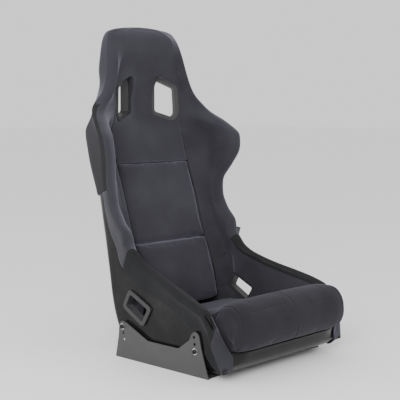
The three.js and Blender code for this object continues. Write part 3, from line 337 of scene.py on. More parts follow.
def rim_face(sec):
    """The pad's face in three runs: side wall, roll, and outside down to the shell's edge."""
    level = groove_level(sec)
    deep = groove_share(sec.s)
    corner = sec.edge + SEAM_GAP * deep
    tuck = [np.array([corner, level - SEWN * 1.6 * deep]), np.array([corner, level - SEWN * 0.8 * deep]),
            np.array([corner + SEWN * 0.3 * deep, level - SEWN * 0.25 * deep])]
    curve = catmull([np.array([corner + SEWN * 0.8 * deep, level])] + crest_points(sec, SEAM_GAP), PER)
    joined = joined_share(sec.s)
    if joined > 0:
        whole = catmull(middle_controls(sec, sec.edge) + crest_points(sec, 0), PER)[3 * PER:]
        curve = curve + (whole - curve) * joined
    return (resample(np.concatenate([tuck, curve[:3 * PER + 1]]), INNER_COUNT),
            resample(curve[3 * PER:6 * PER + 1], ROLL_COUNT), curve[6 * PER:])


def side_ring(s):
    sec = Section(s)
    inner, roll, rest = rim_face(sec)
    end = flap_end(s)
    down = [sec.off(q, WALL + FLAP) for q in np.linspace(8.65, end + 0.12, 10)]
    hem = [sec.off(end + 0.04, WALL + FLAP - 1.2), sec.off(end, WALL + FLAP - 4), sec.off(end, WALL + 0.5)]
    outer = resample(np.concatenate([rest, down, hem]), OUTER_COUNT)
    hidden = [sec.off(q, WALL / 2) for q in np.linspace(end, 3, 9)]
    hidden.append(np.array([sec.edge + SEAM_GAP, sec.rise - WALL / 2]))
    hidden = resample(np.array(hidden), HIDDEN_COUNT)
    return sec, np.concatenate([inner, roll[1:], outer[1:], hidden])


def lobe(sec):
    """The back of the shoulder and head pads, from the outside of the rim round to the rear face."""
    top = np.array([sec.rim_x + WALL + FLAP, sec.crest - RIM_FOAM - 6])
    corner = np.array([HIP + lobe_out(sec.s), lobe_back(sec.s)])
    wall = top - corner
    reach = min(lobe_round(sec.s), np.hypot(*wall) * 0.8)
    a = corner + wall / np.hypot(*wall) * reach
    b = np.array([corner[0] - reach, corner[1]])
    bend = [a * (1 - t) ** 2 + corner * 2 * t * (1 - t) + b * t**2 for t in np.linspace(0, 1, 12)]
    return bend, np.array([min(sec.edge + WRAP_INSET, b[0] - 3), lobe_back(sec.s)])


def wing_ring(s):
    sec = Section(s)
    inner, roll, rest = rim_face(sec)
    bend, end = lobe(sec)
    hem = [end + np.array([2.0, 0.0]), end + np.array([0.3, 1.0]), end + np.array([0.0, 3.0])]
    outer = resample(np.concatenate([rest, bend, hem]), OUTER_COUNT)
    hidden = [sec.off(2.4, WALL / 2), np.array([sec.edge + SEAM_GAP, sec.rise - WALL / 2])]
    hidden = resample(np.array([hem[-1]] + hidden), HIDDEN_COUNT + 1)[1:]
    return sec, np.concatenate([inner, roll[1:], outer[1:], hidden])


def ease_rows(rings, rounds):
    """Evens out a grid of rings along its rows, with both ends kept."""
    for _ in range(rounds):
        rings[1:-1] = (rings[:-2] + 2 * rings[1:-1] + rings[2:]) / 4
    return rings


class Swept:
    """A form's rings on a fine grid of stations, evened out along the seat; at(s) is one station's ring."""

    STEP = 0.06

    def __init__(self, ring_at, first, last, rounds=10):
        self.first = max(first - 1.2, 0.0)
        reach = min(last + 1.2, LAST) - self.first
        self.count = int(round(reach / self.STEP))
        self.step = reach / self.count
        rings = []
        for k in range(self.count + 1):
            sec, ring = ring_at(self.first + k * self.step)
            rings.append([sec.place(p) for p in ring])
        self.rings = ease_rows(np.array(rings), rounds)

    def at(self, s):
        k = min(max((s - self.first) / self.step, 0.0), self.count - 1e-9)
        low = int(k)
        return self.rings[low] + (self.rings[low + 1] - self.rings[low]) * (k - low)


SEAM_DEPTH = 2.2


def outward(rings):
    """The direction out of the form at each point of a grid of rings."""
    normals = np.cross(np.gradient(rings, axis=0), np.gradient(rings, axis=1))
    normals /= np.linalg.norm(normals, axis=2, keepdims=True) + 1e-9
    middle = rings.mean(axis=1, keepdims=True)
    return normals * np.sign(((rings - middle) * normals).sum(axis=2).mean())


def sink(rings, column, width=3, depth=SEAM_DEPTH):
    """Presses a sewn seam into one column of a grid of rings."""
    normals = outward(rings)
    for k in range(-width, width + 1):
        share = math.exp(-(k / (width * 0.45)) ** 2)
        c = (column + k) % rings.shape[1]
        rings[:, c] -= normals[:, c] * depth * share
    return rings


TUCK_REACH = 7.0
TUCK_DEPTH = 3.0


def tuck_end(rings, end):
    """Rounds the outer panel of a pad down into the seam at one end, 0 or -1."""
    gaps = np.linalg.norm(rings.mean(axis=1) - rings[end].mean(axis=0), axis=1)
    normals = outward(rings)
    visible = rings.shape[1] - HIDDEN_COUNT
    share = np.clip((np.arange(visible) - ROLL_SEAM + 2) / 4.0, 0, 1)[:, None]
    for i, gap in enumerate(gaps):
        if gap < TUCK_REACH:
            drop = TUCK_DEPTH * (1 - math.sqrt(1 - (1 - gap / TUCK_REACH) ** 2))
            rings[i, :visible] -= normals[i, :visible] * drop * share
    return rings


def pad_rings(swept, first, last, step, ends=(0, -1)):
    """A pad's rings between two seams, with more of them close to its ends, which are tucked in."""
    near = (0.0, 1.2, 2.6, 4.4, TUCK_REACH)
    head = [first + stations_for(first, d) for d in near]
    tail = [last - stations_for(last, d) for d in near[::-1]]
    count = max(int(round((tail[0] - head[-1]) / step)), 4)
    between = list(np.linspace(head[-1], tail[0], count + 1))[1:-1]
    rings = np.array([swept.at(s) for s in head + between + tail])
    for end in ends:
        rings = tuck_end(rings, end)
    return rings


# ------------------------------------------------------------------ meshes

def mesh_of(name, points, faces):
    mesh = bpy.data.meshes.new(name)
    mesh.from_pydata([tuple(p) for p in points], [], faces)
    mesh.validate()
    bm = bmesh.new()
    bm.from_mesh(mesh)
    bmesh.ops.recalc_face_normals(bm, faces=bm.faces)
    bm.to_mesh(mesh)
    bm.free()
    obj = bpy.data.objects.new(name, mesh)
    bpy.context.scene.collection.objects.link(obj)
    return obj


def loft(name, rings, close=True):
    """A closed mesh through rings of points, in millimetres, with a fan at each end."""
    rows, n, _ = rings.shape
    points = list(rings.reshape(-1, 3) * MM)
    faces = []
    for r in range(rows - 1):
        for i in range(n):
            j = (i + 1) % n
            faces.append((r * n + i, r * n + j, (r + 1) * n + j, (r + 1) * n + i))
    if close:
        for r in (0, rows - 1):
            points.append(rings[r].mean(axis=0) * MM)
            c = len(points) - 1
            faces += [(r * n + i, r * n + (i + 1) % n, c) for i in range(n)]
    return mesh_of(name, points, faces)


def mirrored(rings):
    return rings * np.array([-1.0, 1.0, 1.0])


def smooth(obj, angle):
    """Smooth shading, with edges sharper than the angle left hard."""
    mesh = obj.data
    mesh.polygons.foreach_set("use_smooth", [True] * len(mesh.polygons))
    bm = bmesh.new()
    bm.from_mesh(mesh)
    limit = math.radians(angle)
    for edge in bm.edges:
        edge.smooth = len(edge.link_faces) == 2 and edge.calc_face_angle(0.0) < limit
    bm.to_mesh(mesh)
    bm.free()


def apply_modifiers(obj):
    graph = bpy.context.evaluated_depsgraph_get()
    mesh = bpy.data.meshes.new_from_object(obj.evaluated_get(graph))
    obj.modifiers.clear()
    obj.data = mesh


def cut(obj, cutters):
    """Takes the cutters out of a mesh, and the cutters away."""
    for cutter in cutters:
        m = obj.modifiers.new("cut", "BOOLEAN")
        m.operation, m.object, m.solver = "DIFFERENCE", cutter, "EXACT"
    bpy.context.view_layer.update()
    apply_modifiers(obj)
    for cutter in cutters:
        bpy.data.objects.remove(cutter)


def prism(name, outline, low, high, to_space):
    """A closed straight prism from an outline and two depths, in millimetres."""
    n = len(outline)
    points = [to_space(x, y, d) * MM for d in (low, high) for x, y in outline]
    faces = [tuple(range(n))[::-1], tuple(range(n, 2 * n))]
    faces += [(i, (i + 1) % n, n + (i + 1) % n, n + i) for i in range(n)]
    return mesh_of(name, points, faces)


# ------------------------------------------------------------------ openings

SLOT_TILT = math.radians(24)
SLOT_CENTRE = np.array([89.0, 500.5 + SHIFT_Y, 748.0])
SLOT = [((x - 89) / math.cos(SLOT_TILT), z - 748)
        for x, z in [(57, 709), (111, 690), (122, 701), (118, 780), (64, 805), (57, 788)]]
BELT = [(262, 116), (328, 153), (310, 188), (239, 154)]


def grown(corners, distance):
    """A closed outline moved outwards."""
    found = []
    for i, corner in enumerate(corners):
        c = np.array(corner, float)
        a = c - np.array(corners[i - 1], float)
        b = np.array(corners[(i + 1) % len(corners)], float) - c
        a, b = a / np.hypot(*a), b / np.hypot(*b)
        normal = np.array([a[1] + b[1], -a[0] - b[0]])
        normal /= np.hypot(*normal)
        found.append(c + normal * distance / max(0.35, normal[0] * a[1] - normal[1] * a[0]))
    return found


def rounded(corners, radius):
    """A closed outline with each corner rounded off in five points."""
    found = []
    n = len(corners)
    for i, c in enumerate(corners):
        a, b = corners[i - 1] - c, corners[(i + 1) % n] - c
        reach = min(radius, np.hypot(*a) * 0.45, np.hypot(*b) * 0.45)
        p, q = c + a / np.hypot(*a) * reach, c + b / np.hypot(*b) * reach
        found += [p * (1 - t) ** 2 + c * 2 * t * (1 - t) + q * t**2 for t in np.linspace(0, 1, 5)]
    return found


def into_slot(side):
    """From a slot's own plane and depth into the frame."""
    def place(x, y, depth):
        return np.array([side * (SLOT_CENTRE[0] + x * math.cos(SLOT_TILT) + depth * math.sin(SLOT_TILT)),
                         SLOT_CENTRE[1] - x * math.sin(SLOT_TILT) + depth * math.cos(SLOT_TILT),
                         SLOT_CENTRE[2] + y])
    return place


def across(side):
    """From a side view's (y, z) from the brackets' front, and a distance outwards, into the frame."""
    return lambda y, z, x: np.array([side * x, y + SHIFT_Y, z])


# What is cut out at an opening: how far outside its corners, the rounding, and from which depth to which.
# The pads also give way to the bezels.
SLOT_THROUGH, SLOT_BEZEL, SLOT_RING = (2.75, 9, -60, 80), (12.2, 15, -60, 4.2), (10.3, 13.7, 20.2, 70)
BELT_THROUGH, BELT_INNER, BELT_OUTER = (2.75, 7, 140, 290), (10.2, 12, 140, 217.3), (12.2, 13.5, 233.9, 290)


def opening_cutters(corners, forms, to_space):
    return [prism("cut_opening", rounded(grown(corners, out), bend), low, high, to_space)
            for out, bend, low, high in forms]


def slot_cutters(side, pads):
    forms = (SLOT_THROUGH, SLOT_BEZEL, SLOT_RING) if pads else (SLOT_THROUGH, SLOT_RING)
    return opening_cutters(SLOT, forms, into_slot(side))


def belt_cutters(side, pads):
    forms = (BELT_THROUGH, BELT_INNER, BELT_OUTER) if pads else (BELT_THROUGH,)
    return opening_cutters(BELT, forms, across(side))


# ------------------------------------------------------------------ shader words

class Wire:
    """A shader socket, or the number that goes into one. Python's operators add Math nodes."""

    def __init__(self, tree, socket):
        self.tree, self.socket = tree, socket

    def _math(self, operation, *values):
        return self.tree.node("ShaderNodeMath", {"operation": operation}, dict(enumerate(values)))

    def __add__(self, other):
        return self._math("ADD", self, other)

    def __radd__(self, other):
        return self._math("ADD", other, self)

    def __sub__(self, other):
        return self._math("SUBTRACT", self, other)

    def __rsub__(self, other):
        return self._math("SUBTRACT", other, self)

    def __mul__(self, other):
        return self._math("MULTIPLY", self, other)

    def __rmul__(self, other):
        return self._math("MULTIPLY", other, self)

    def wave(self):
        return self._math("SINE", self)


class Finish:
    """A material under construction."""

    def __init__(self, name):
        self.material = bpy.data.materials.new(name)
        self.material.use_nodes = True
        self.nodes = self.material.node_tree.nodes
        self.links = self.material.node_tree.links
        self.nodes.clear()
        self.shader = self.nodes.new("ShaderNodeBsdfPrincipled")
        output = self.nodes.new("ShaderNodeOutputMaterial")
        self.links.new(self.shader.outputs[0], output.inputs["Surface"])

    def node(self, kind, settings=None, sockets=None, out=0):
        made = self.nodes.new(kind)
        for key, value in (settings or {}).items():
            if key == "stops":
                ramp = made.color_ramp
                while len(ramp.elements) > 1:
                    ramp.elements.remove(ramp.elements[-1])
                for i, (at, colour) in enumerate(value):
                    element = ramp.elements[0] if i == 0 else ramp.elements.new(at)
                    element.position = at
                    element.color = colour if hasattr(colour, "__len__") else (colour, colour, colour, 1)
            else:
                setattr(made, key, value)
        for key, value in (sockets or {}).items():
            if isinstance(value, Wire):
                self.links.new(value.socket, made.inputs[key])
            else:
                made.inputs[key].default_value = value
        return Wire(self, made.outputs[out])

    def place(self):
        return self.node("ShaderNodeTexCoord", out="Object")

    def noise(self, scale, detail, rough):
        return self.node("ShaderNodeTexNoise", {}, {"Vector": self.place(), "Scale": scale,
                                                    "Detail": detail, "Roughness": rough})

    def ramp(self, value, *stops):
        return self.node("ShaderNodeValToRGB", {"stops": stops}, {0: value})

    def mix(self, factor, a, b):
        return self.node("ShaderNodeMix", {"data_type": "RGBA"}, {0: factor, 6: a, 7: b}, out=2)

    def parts(self, vector):
        made = self.nodes.new("ShaderNodeSeparateXYZ")
        self.links.new(vector.socket, made.inputs[0])
        return [Wire(self, o) for o in made.outputs]

    def bump(self, height, strength, distance, under=None):
        sockets = {"Height": height, "Strength": strength, "Distance": distance}
        if under is not None:
            sockets["Normal"] = under
        return self.node("ShaderNodeBump", {}, sockets)

    def set(self, **sockets):
        names = {"colour": "Base Color", "roughness": "Roughness", "metallic": "Metallic", "normal": "Normal",
                 "sheen": "Sheen Weight", "sheen_roughness": "Sheen Roughness", "sheen_tint": "Sheen Tint",
                 "specular": "Specular IOR Level"}
        for key, value in sockets.items():
            if isinstance(value, Wire):
                self.links.new(value.socket, self.shader.inputs[names[key]])
            else:
                self.shader.inputs[names[key]].default_value = value
        return self.material


THREAD = 0.00115                                 # pitch of the seat cloth's weave, in metres


def seat_cloth(name, low, high, sheen=0.35):
    """Black woven seat cloth: warp and weft in three planes, a soft nap and slow shading."""
    f = Finish(name)
    x, y, z = f.parts(f.place())
    turn = 2 * math.pi / THREAD
    weave = ((x * turn).wave() + (z * turn).wave() + (y * turn).wave()) * 0.3333
    nap = f.noise(900, 2, 0.6)
    slow = f.noise(9, 3, 0.5)
    cloud = f.noise(38, 4, 0.6)
    worn = f.ramp(slow, (0.35, 0.0), (0.7, 1.0))
    tone = (worn * 0.55 + cloud * 0.3 + nap * 0.25 + weave * 0.08)
    colour = f.mix(tone, (*low, 1), (*high, 1))
    roughness = 0.86 + 0.1 * cloud
    fine = f.bump(weave * 0.5 + nap * 0.5, 0.35, 0.0004)
    soft = f.bump(f.noise(26, 3, 0.5), 0.12, 0.006, fine)
    return f.set(colour=colour, roughness=roughness, normal=soft, sheen=sheen, sheen_roughness=0.45,
                 sheen_tint=(0.62, 0.6, 0.75, 1), specular=0.25)


def gelcoat(name):
    """Black gloss gelcoat: faint orange peel, dust and fine scuffs."""
    f = Finish(name)
    peel = f.noise(170, 2, 0.4)
    scuff = f.noise(60, 6, 0.7)
    dust = f.ramp(f.noise(14, 5, 0.6), (0.45, 0.0), (0.8, 1.0))
    colour = f.mix(dust, (0.007, 0.0075, 0.007, 1), (0.016, 0.017, 0.0155, 1))
    roughness = 0.13 + 0.1 * f.ramp(scuff, (0.5, 0.0), (0.75, 1.0)) + 0.08 * dust
    return f.set(colour=colour, roughness=roughness, normal=f.bump(peel, 0.05, 0.001), specular=0.15)


def powder_coat(name):
    """Satin black powder coat on folded steel."""
    f = Finish(name)
    grain = f.noise(1300, 3, 0.6)
    cloud = f.noise(22, 4, 0.55)
    worn = f.ramp(f.noise(240, 5, 0.7), (0.62, 0.0), (0.72, 1.0))
    colour = f.mix(cloud * 0.7 + grain * 0.2, (0.03, 0.03, 0.031, 1), (0.062, 0.062, 0.063, 1))
    colour = f.mix(worn * 0.15, colour, (0.16, 0.16, 0.16, 1))
    return f.set(colour=colour, roughness=0.36 + 0.16 * cloud, metallic=0.2,
                 normal=f.bump(grain, 0.12, 0.0003))


def moulded(name):
    """Dark grey moulded plastic with a fine spark-eroded grain."""
    f = Finish(name)
    grain = f.node("ShaderNodeTexVoronoi", {"feature": "F1"}, {"Vector": f.place(), "Scale": 1500})
    cloud = f.noise(30, 4, 0.5)
    colour = f.mix(cloud * 0.8, (0.019, 0.019, 0.02, 1), (0.038, 0.038, 0.04, 1))
    return f.set(colour=colour, roughness=0.44 + 0.14 * cloud, normal=f.bump(grain, 0.15, 0.0003),
                 specular=0.35)


def plated(name, low, high, metallic=1.0, rough=0.22):
    """Turned and plated metal with fine tool marks."""
    f = Finish(name)
    marks = f.noise(700, 6, 0.75)
    cloud = f.noise(60, 3, 0.5)
    return f.set(colour=f.mix(cloud, (*low, 1), (*high, 1)), roughness=rough + 0.16 * marks, metallic=metallic,
                 normal=f.bump(marks, 0.08, 0.0002))


def webbing(name):
    """Woven tape with a coarse rib."""
    f = Finish(name)
    x, y, z = f.parts(f.place())
    rib = ((z * 2600).wave() + (y * 3100).wave()) * 0.5
    fuzz = f.noise(1100, 3, 0.6)
    colour = f.mix(fuzz * 0.7 + rib * 0.2, (0.012, 0.012, 0.013, 1), (0.05, 0.05, 0.054, 1))
    return f.set(colour=colour, roughness=0.9 + 0.08 * fuzz, normal=f.bump(rib + fuzz, 0.5, 0.0004), sheen=0.3)


cloth = seat_cloth("seat_cloth", (0.0125, 0.0122, 0.0155), (0.029, 0.0282, 0.0355))
# A darker copy of the seat cloth for the wings' outer panels: painted shade.
cloth_painted_shade_wing = seat_cloth("bolster_cloth_painted_shade", (0.0085, 0.0085, 0.0095), (0.0175, 0.0175, 0.019), sheen=0.06)
# A still darker copy for the thigh pads from their inner seam outwards, and for their noses outside that seam:
# painted shade.
cloth_painted_shade_thigh = seat_cloth("thigh_cloth_painted_shade", (0.0058, 0.006, 0.0065), (0.013, 0.0132, 0.0142), sheen=0.04)
# A darker copy for the seat cushion, whose front faces the key light: painted shade.
cloth_painted_shade_seat = seat_cloth("cushion_cloth_painted_shade", (0.0075, 0.0074, 0.0093), (0.017, 0.0166, 0.0207), sheen=0.12)
# A lighter copy for the torso pads' outer panels: painted light.
cloth_painted_light_waist = seat_cloth("waist_cloth_painted_light", (0.02, 0.02, 0.0225), (0.043, 0.043, 0.047), sheen=0.3)
gloss = gelcoat("gelcoat")
coat = powder_coat("powder_coat")
plastic = moulded("moulded_plastic")
black_oxide = plated("black_oxide", (0.012, 0.012, 0.012), (0.035, 0.035, 0.034), 0.75, 0.3)
zinc = plated("zinc_plate", (0.55, 0.56, 0.57), (0.78, 0.79, 0.8))
brass = plated("brass", (0.42, 0.31, 0.13), (0.62, 0.48, 0.22))
tape = webbing("woven_tape")


def paint(obj, material):
    obj.data.materials.clear()
    obj.data.materials.append(material)


# ------------------------------------------------------------------ rim pads and their seams

def dress_pad(name, rings, node, panels, cutters=(), front=None):
    """A cover of sewn panels: each is (grid column it starts at, cloth)."""
    obj = loft(name, rings)
    columns = rings.shape[1]
    faces = (len(rings) - 1) * columns
    index = [0] * len(obj.data.polygons)
    for k, (start, _) in enumerate(panels):
        for i in range(faces):
            if i % columns >= start:
                index[i] = k
    obj.data.materials.clear()
    for _, cloth_here in panels:
        obj.data.materials.append(cloth_here)
    obj.data.polygons.foreach_set("material_index", index)
    if cutters:
        cut(obj, cutters)
    if front is not None:
        weld_nose(obj, front)
    smooth(obj, 62)
    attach(obj, FRAME_BODY)
    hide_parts(node)


# Corners of the sewn panel that closes a thigh pad's front: inner and outer foot, outer and inner top.
PANEL = [(222, -72, 37), (266, -66, 35), (285, -47, 106), (254, -38, 150)]
PANEL_KNEE = (222, -70, 68)                      # where the inner edge leaves the cushion's end
PANEL_ROUND = 5.0
PANEL_SEAM = 1.8                                 # how deep the seam round the panel is
PANEL_SWELL = 2.5                                # how far the panel's middle stands out
PANEL_SHARES = (0.12, 0.35, 0.6, 0.8, 0.92, 0.965)
PAD_START = 0.9                                  # station at which the pad's roll turns down to the panel


def panel_runs(counts):
    """The panel's outline in four runs: inner edge upwards, top seam, outer edge downwards, foot."""
    shift = np.array([0.0, SHIFT_Y, 0.0])
    foot_in, foot_out, top_out, top_in = np.array(PANEL, float) + shift
    loop = (foot_in, top_in, top_out, foot_out)

    def bend(corner, other, share):
        """A point on the edge from a corner to another, a share of the rounding away from it."""
        return corner + (other - corner) / np.linalg.norm(other - corner) * PANEL_ROUND * share

    runs = []
    for i, count in enumerate(counts):
        before, a, b, after = (loop[(i + k) % 4] for k in (-1, 0, 1, 2))
        start = (bend(a, before, 1) + 2 * a + bend(a, b, 1)) / 4
        finish = (bend(b, a, 1) + 2 * b + bend(b, after, 1)) / 4
        line = [start, bend(a, b, 0.55), bend(a, b, 1.2), bend(b, a, 1.2), bend(b, a, 0.55), finish]
        if i == 0:
            line.insert(3, np.array(PANEL_KNEE, float) + shift)
        runs.append(resample(np.array(line), count + 1))
    return runs


def nose(rings, turn_at):
    """Turns a pad's front end down to a flat sewn panel, whose outer foot is at grid column turn_at."""
    counts = [INNER_SEAM, ROLL_SEAM - INNER_SEAM, turn_at - ROLL_SEAM, rings.shape[1] - turn_at]
    outline = np.concatenate([run[:-1] for run in panel_runs(counts)])
    ahead = rings[0] - rings[2]
    ahead /= np.linalg.norm(ahead, axis=1, keepdims=True) + 1e-9
    reach = np.linalg.norm(outline - rings[0], axis=1, keepdims=True)
    handle = rings[0] + ahead * reach * 0.18
    turned = [rings[0] * (1 - t) ** 2 + handle * 2 * t * (1 - t) + outline * t**2
              for t in (1, 0.97, 0.92, 0.84, 0.74, 0.62, 0.5, 0.38, 0.26, 0.13, 0)]
    middle = outline.mean(axis=0)
    across_panel = np.cross(outline[INNER_SEAM] - outline[0], outline[turn_at] - outline[0])
    facing = across_panel / np.linalg.norm(across_panel)
    if facing[1] > 0:
        facing = -facing
    turned[0] = outline - facing * PANEL_SEAM
    closing = [middle + (outline - middle) * share + facing * PANEL_SWELL * (1 - share**2)
               for share in PANEL_SHARES]
    return np.array(closing + turned)


def weld_nose(obj, rings):
    """Opens a pad's front end and welds its nose on; the nose's first rows are the sewn panel."""
    rows, n, _ = rings.shape
    edge = KDTree(n + 1)
    for i, p in enumerate(list(rings[-1]) + [rings[-1].mean(axis=0)]):
        edge.insert(p * MM, i)
    edge.balance()
    bm = bmesh.new()
    bm.from_mesh(obj.data)
    cap = [f for f in bm.faces if all(edge.find(v.co)[2] < 2e-6 for v in f.verts)]
    bmesh.ops.delete(bm, geom=cap, context="FACES")
    grid = [[bm.verts.new(p * MM) for p in ring] for ring in rings]
    tip = bm.verts.new(rings[0].mean(axis=0) * MM)
    for i in range(n):
        j = (i + 1) % n
        bm.faces.new((grid[0][i], grid[0][j], tip))
        for r in range(rows - 1):
            face = bm.faces.new((grid[r][i], grid[r][j], grid[r + 1][j], grid[r + 1][i]))
            # The nose's turned rows outside the inner seam take the pad's second cloth, the thighs' darker copy
            # that is painted shade; the front panel keeps the first.
            face.material_index = int(r > len(PANEL_SHARES) and i >= INNER_SEAM)
    bmesh.ops.remove_doubles(bm, verts=bm.verts, dist=2e-6)
    bmesh.ops.recalc_face_normals(bm, faces=bm.faces)
    bm.to_mesh(obj.data)
    bm.free()


# The seams across the inner faces are sewn flush: only the outer panels stand apart from each other.
HAIR = 0.05
sides = Swept(side_ring, PAD_START, WING_SEAM)
wings = Swept(wing_ring, WING_SEAM, NECK_SEAM)
thigh_rings = pad_rings(sides, PAD_START, THIGH_SEAM - stations_for(THIGH_SEAM, HAIR), 0.09, (-1,))
thigh_rings = sink(sink(thigh_rings, ROLL_SEAM), INNER_SEAM, 2, 1.4)
start_section = Section(PAD_START)
under_corner = start_section.place(start_section.off(4.5, WALL + FLAP))
outer_columns = range(ROLL_SEAM, thigh_rings.shape[1] - HIDDEN_COUNT)
turn_at = min(outer_columns, key=lambda c: np.linalg.norm(thigh_rings[0][c] - under_corner))
nose_rings = nose(thigh_rings, turn_at)
torso_rings = pad_rings(sides, THIGH_SEAM + stations_for(THIGH_SEAM, HAIR),
                        WING_SEAM - stations_for(WING_SEAM, HAIR), 0.09)
torso_rings = sink(torso_rings, ROLL_SEAM)
wing_rings = pad_rings(wings, WING_SEAM + stations_for(WING_SEAM, HAIR),
                       NECK_SEAM - stations_for(NECK_SEAM, HAIR), 0.07)
wing_rings = sink(wing_rings, ROLL_SEAM)

# The thigh pads give way to the brackets' ears, outside this distance from the shell's hip.
EAR_CLEAR = 3.5
EAR = [(6, -5), (16, 40), (18, 90), (24, 128), (72, 128), (130, 90), (130, -5)]

for word, side in (("left", 1), ("right", -1)):
    def turn(rings, side=side):
        return rings if side > 0 else mirrored(rings)
    made = belt_cutters(side, True) + [prism("cut_ear", EAR, HIP + EAR_CLEAR, 300, across(side))]
    # The thighs' second cloth is the darker copy of the seat cloth, painted shade.
    dress_pad(f"thigh_cover_{word}", turn(thigh_rings), f"thigh_bolster_{word}",
              [(0, cloth), (INNER_SEAM, cloth_painted_shade_thigh)], made, front=turn(nose_rings))
    # The torsos' second cloth is the lighter copy of the seat cloth, painted light.
    dress_pad(f"torso_cover_{word}", turn(torso_rings), f"torso_bolster_{word}",
              [(0, cloth), (ROLL_SEAM, cloth_painted_light_waist)])
    made = slot_cutters(side, True)
    # The wings' second cloth is the darker copy of the seat cloth, painted shade.
    dress_pad(f"wing_cover_{word}", turn(wing_rings), f"wing_pad_{word}",
              [(0, cloth), (ROLL_SEAM, cloth_painted_shade_wing)], made)

# ------------------------------------------------------------------ head and chest cover

CENTRE_COUNT = 26


def head_half(s, narrow):
    """Half a ring of the head and chest cover; narrow below the neck, where it lies between the wings."""
    sec = Section(s)
    level = groove_level(sec)
    if narrow:
        deep = groove_share(s)
        edge = sec.edge - SEAM_GAP * deep
        sewn = SEWN * deep
        curve = catmull(middle_controls(sec, edge - sewn), PER)
        middle = resample(curve, CENTRE_COUNT)
        side = [np.array([edge - sewn, level]), np.array([edge - sewn * 0.3, level - sewn * 0.3]),
                np.array([edge, level - sewn]), np.array([edge, sec.rise - WALL / 2])]
        side = resample(np.array(side), INNER_COUNT + ROLL_COUNT + OUTER_COUNT - 2)
        rear = [side[-1], np.array([RAMP_START, -WALL / 2]), np.array([0.0, -WALL / 2])]
        rear = resample(np.array(rear), HIDDEN_COUNT + 1)[1:]
        return sec, np.concatenate([middle, side[1:], rear])
    curve = catmull(middle_controls(sec, sec.edge) + crest_points(sec, 0), PER)
    middle = resample(curve[:3 * PER + 1], CENTRE_COUNT)
    inner = resample(curve[3 * PER:6 * PER + 1], INNER_COUNT)
    roll = resample(curve[6 * PER:9 * PER + 1], ROLL_COUNT)
    bend, end = lobe(sec)
    outer = resample(np.concatenate([curve[9 * PER:], bend, [end]]), OUTER_COUNT)
    lap = rear_lap(s)
    rear = [end, np.array([sec.edge * 0.97, sec.rise + lap]), np.array([RAMP_START, lap]), np.array([0.0, lap])]
    rear = resample(np.array(rear), HIDDEN_COUNT + 1)[1:]
    return sec, np.concatenate([middle, inner[1:], roll[1:], outer[1:], rear])


rear_lap = along([(21.5, -WALL / 2), (22, -WALL / 2), (22.5, -WALL - FLAP)])


def head_ring(narrow):
    def ring(s):
        sec, half = head_half(s, narrow)
        return sec, np.concatenate([half, half[1:-1][::-1] * np.array([-1.0, 1.0])])
    return ring


CHEST_UNDER = 0.3                                # stations that the cover runs on below its lower seam
CROWN_RISE = 8.4


def head_cover():
    """Rings from the chest to the crown; narrow between the wings, then the whole head."""
    neck = NECK_SEAM + stations_for(NECK_SEAM, HAIR)
    chest = Swept(head_ring(True), CHEST_SEAM - CHEST_UNDER, neck)
    head = Swept(head_ring(False), neck, LAST)
    lower = np.array([chest.at(s) for s in np.linspace(CHEST_SEAM - CHEST_UNDER, neck - 0.002, 56)])
    upper = np.array([head.at(s) for s in np.linspace(neck, LAST, 84)])
    top = upper[-1]
    middle = top.mean(axis=0)
    crown = []
    for share in (0.97, 0.92, 0.85, 0.75, 0.62, 0.46, 0.28, 0.1):
        ring = middle + (top - middle) * share
        ring[:, 2] += CROWN_RISE * (1 - share**2)
        crown.append(ring)
    return np.concatenate([lower, upper, np.array(crown)])


def seam_plane(s, gap):
    """A cutter for everything below a plane square to the shell."""
    at = s + stations_for(s, gap)
    corners = [lifted(at, -40), lifted(at, 140), lifted(at - 2, 140), lifted(at - 2, -40)]
    return prism("cut_seam", [np.array([c[0] - SHIFT_Y, c[1]]) for c in corners], -HIP, HIP, across(1))


made = [seam_plane(CHEST_SEAM, 0.7)] + slot_cutters(1, True) + slot_cutters(-1, True)
dress_pad("head_cover", head_cover(), "upper_back_pad", [(0, cloth)], made)

# ------------------------------------------------------------------ shell


def shell_ring(s):
    sec = Section(s)
    q = np.concatenate([np.linspace(0, 2, 13), np.linspace(2, 3, 4)[1:], np.linspace(3, 6, 10)[1:],
                        np.linspace(6, 9, 14)[1:]])
    inner = [sec.inside(k) for k in q]
    outer = [sec.off(k, WALL) for k in q]
    tip = (inner[-1] + outer[-1]) / 2 + (inner[-1] - inner[-2]) / np.hypot(*(inner[-1] - inner[-2])) * 1.5
    half = inner + [tip] + outer[::-1]
    other = [p * np.array([-1.0, 1.0]) for p in half[1:-1]][::-1]
    return sec, half + other


def wall_cap(n, first):
    """The faces that close one end of the shell's wall, with n points on the inside of each half ring."""
    faces = []
    for k in range(n - 1):
        faces.append((k, k + 1, 2 * n - k - 1, 2 * n - k))
        faces.append(((4 * n - k) % (4 * n), 2 * n + k, 2 * n + k + 1, 4 * n - k - 1))
    faces += [(n - 1, n, n + 1), (3 * n + 1, 3 * n - 1, 3 * n)]
    return [tuple(first + i for i in face) for face in faces]


LIP_BEHIND = 3.0                                 # gap between a front panel and the end of the shell's lip
PANEL_LEAN, PANEL_SWEEP = 0.255, 0.174           # how far a panel goes back per height and per distance outwards
LIP_FREE, LIP_HELD = 214.0, 224.0                # from here outwards, and from here fully, the lip stays behind
LIP_SHARE = 0.96


def behind_panels(rings):
    """Keeps the ends of the shell's front lip behind the thigh pads' front panels."""
    x, y, z = PANEL[0]
    sideways = np.abs(rings[:, :, 0])
    plane = SHIFT_Y + y + LIP_BEHIND + (rings[:, :, 2] - z) * PANEL_LEAN + (sideways - x) * PANEL_SWEEP
    share = np.clip((sideways - LIP_FREE) / (LIP_HELD - LIP_FREE), 0, 1)
    rings[:, :, 1] += np.maximum(plane - rings[:, :, 1], 0) * share * LIP_SHARE
    return rings


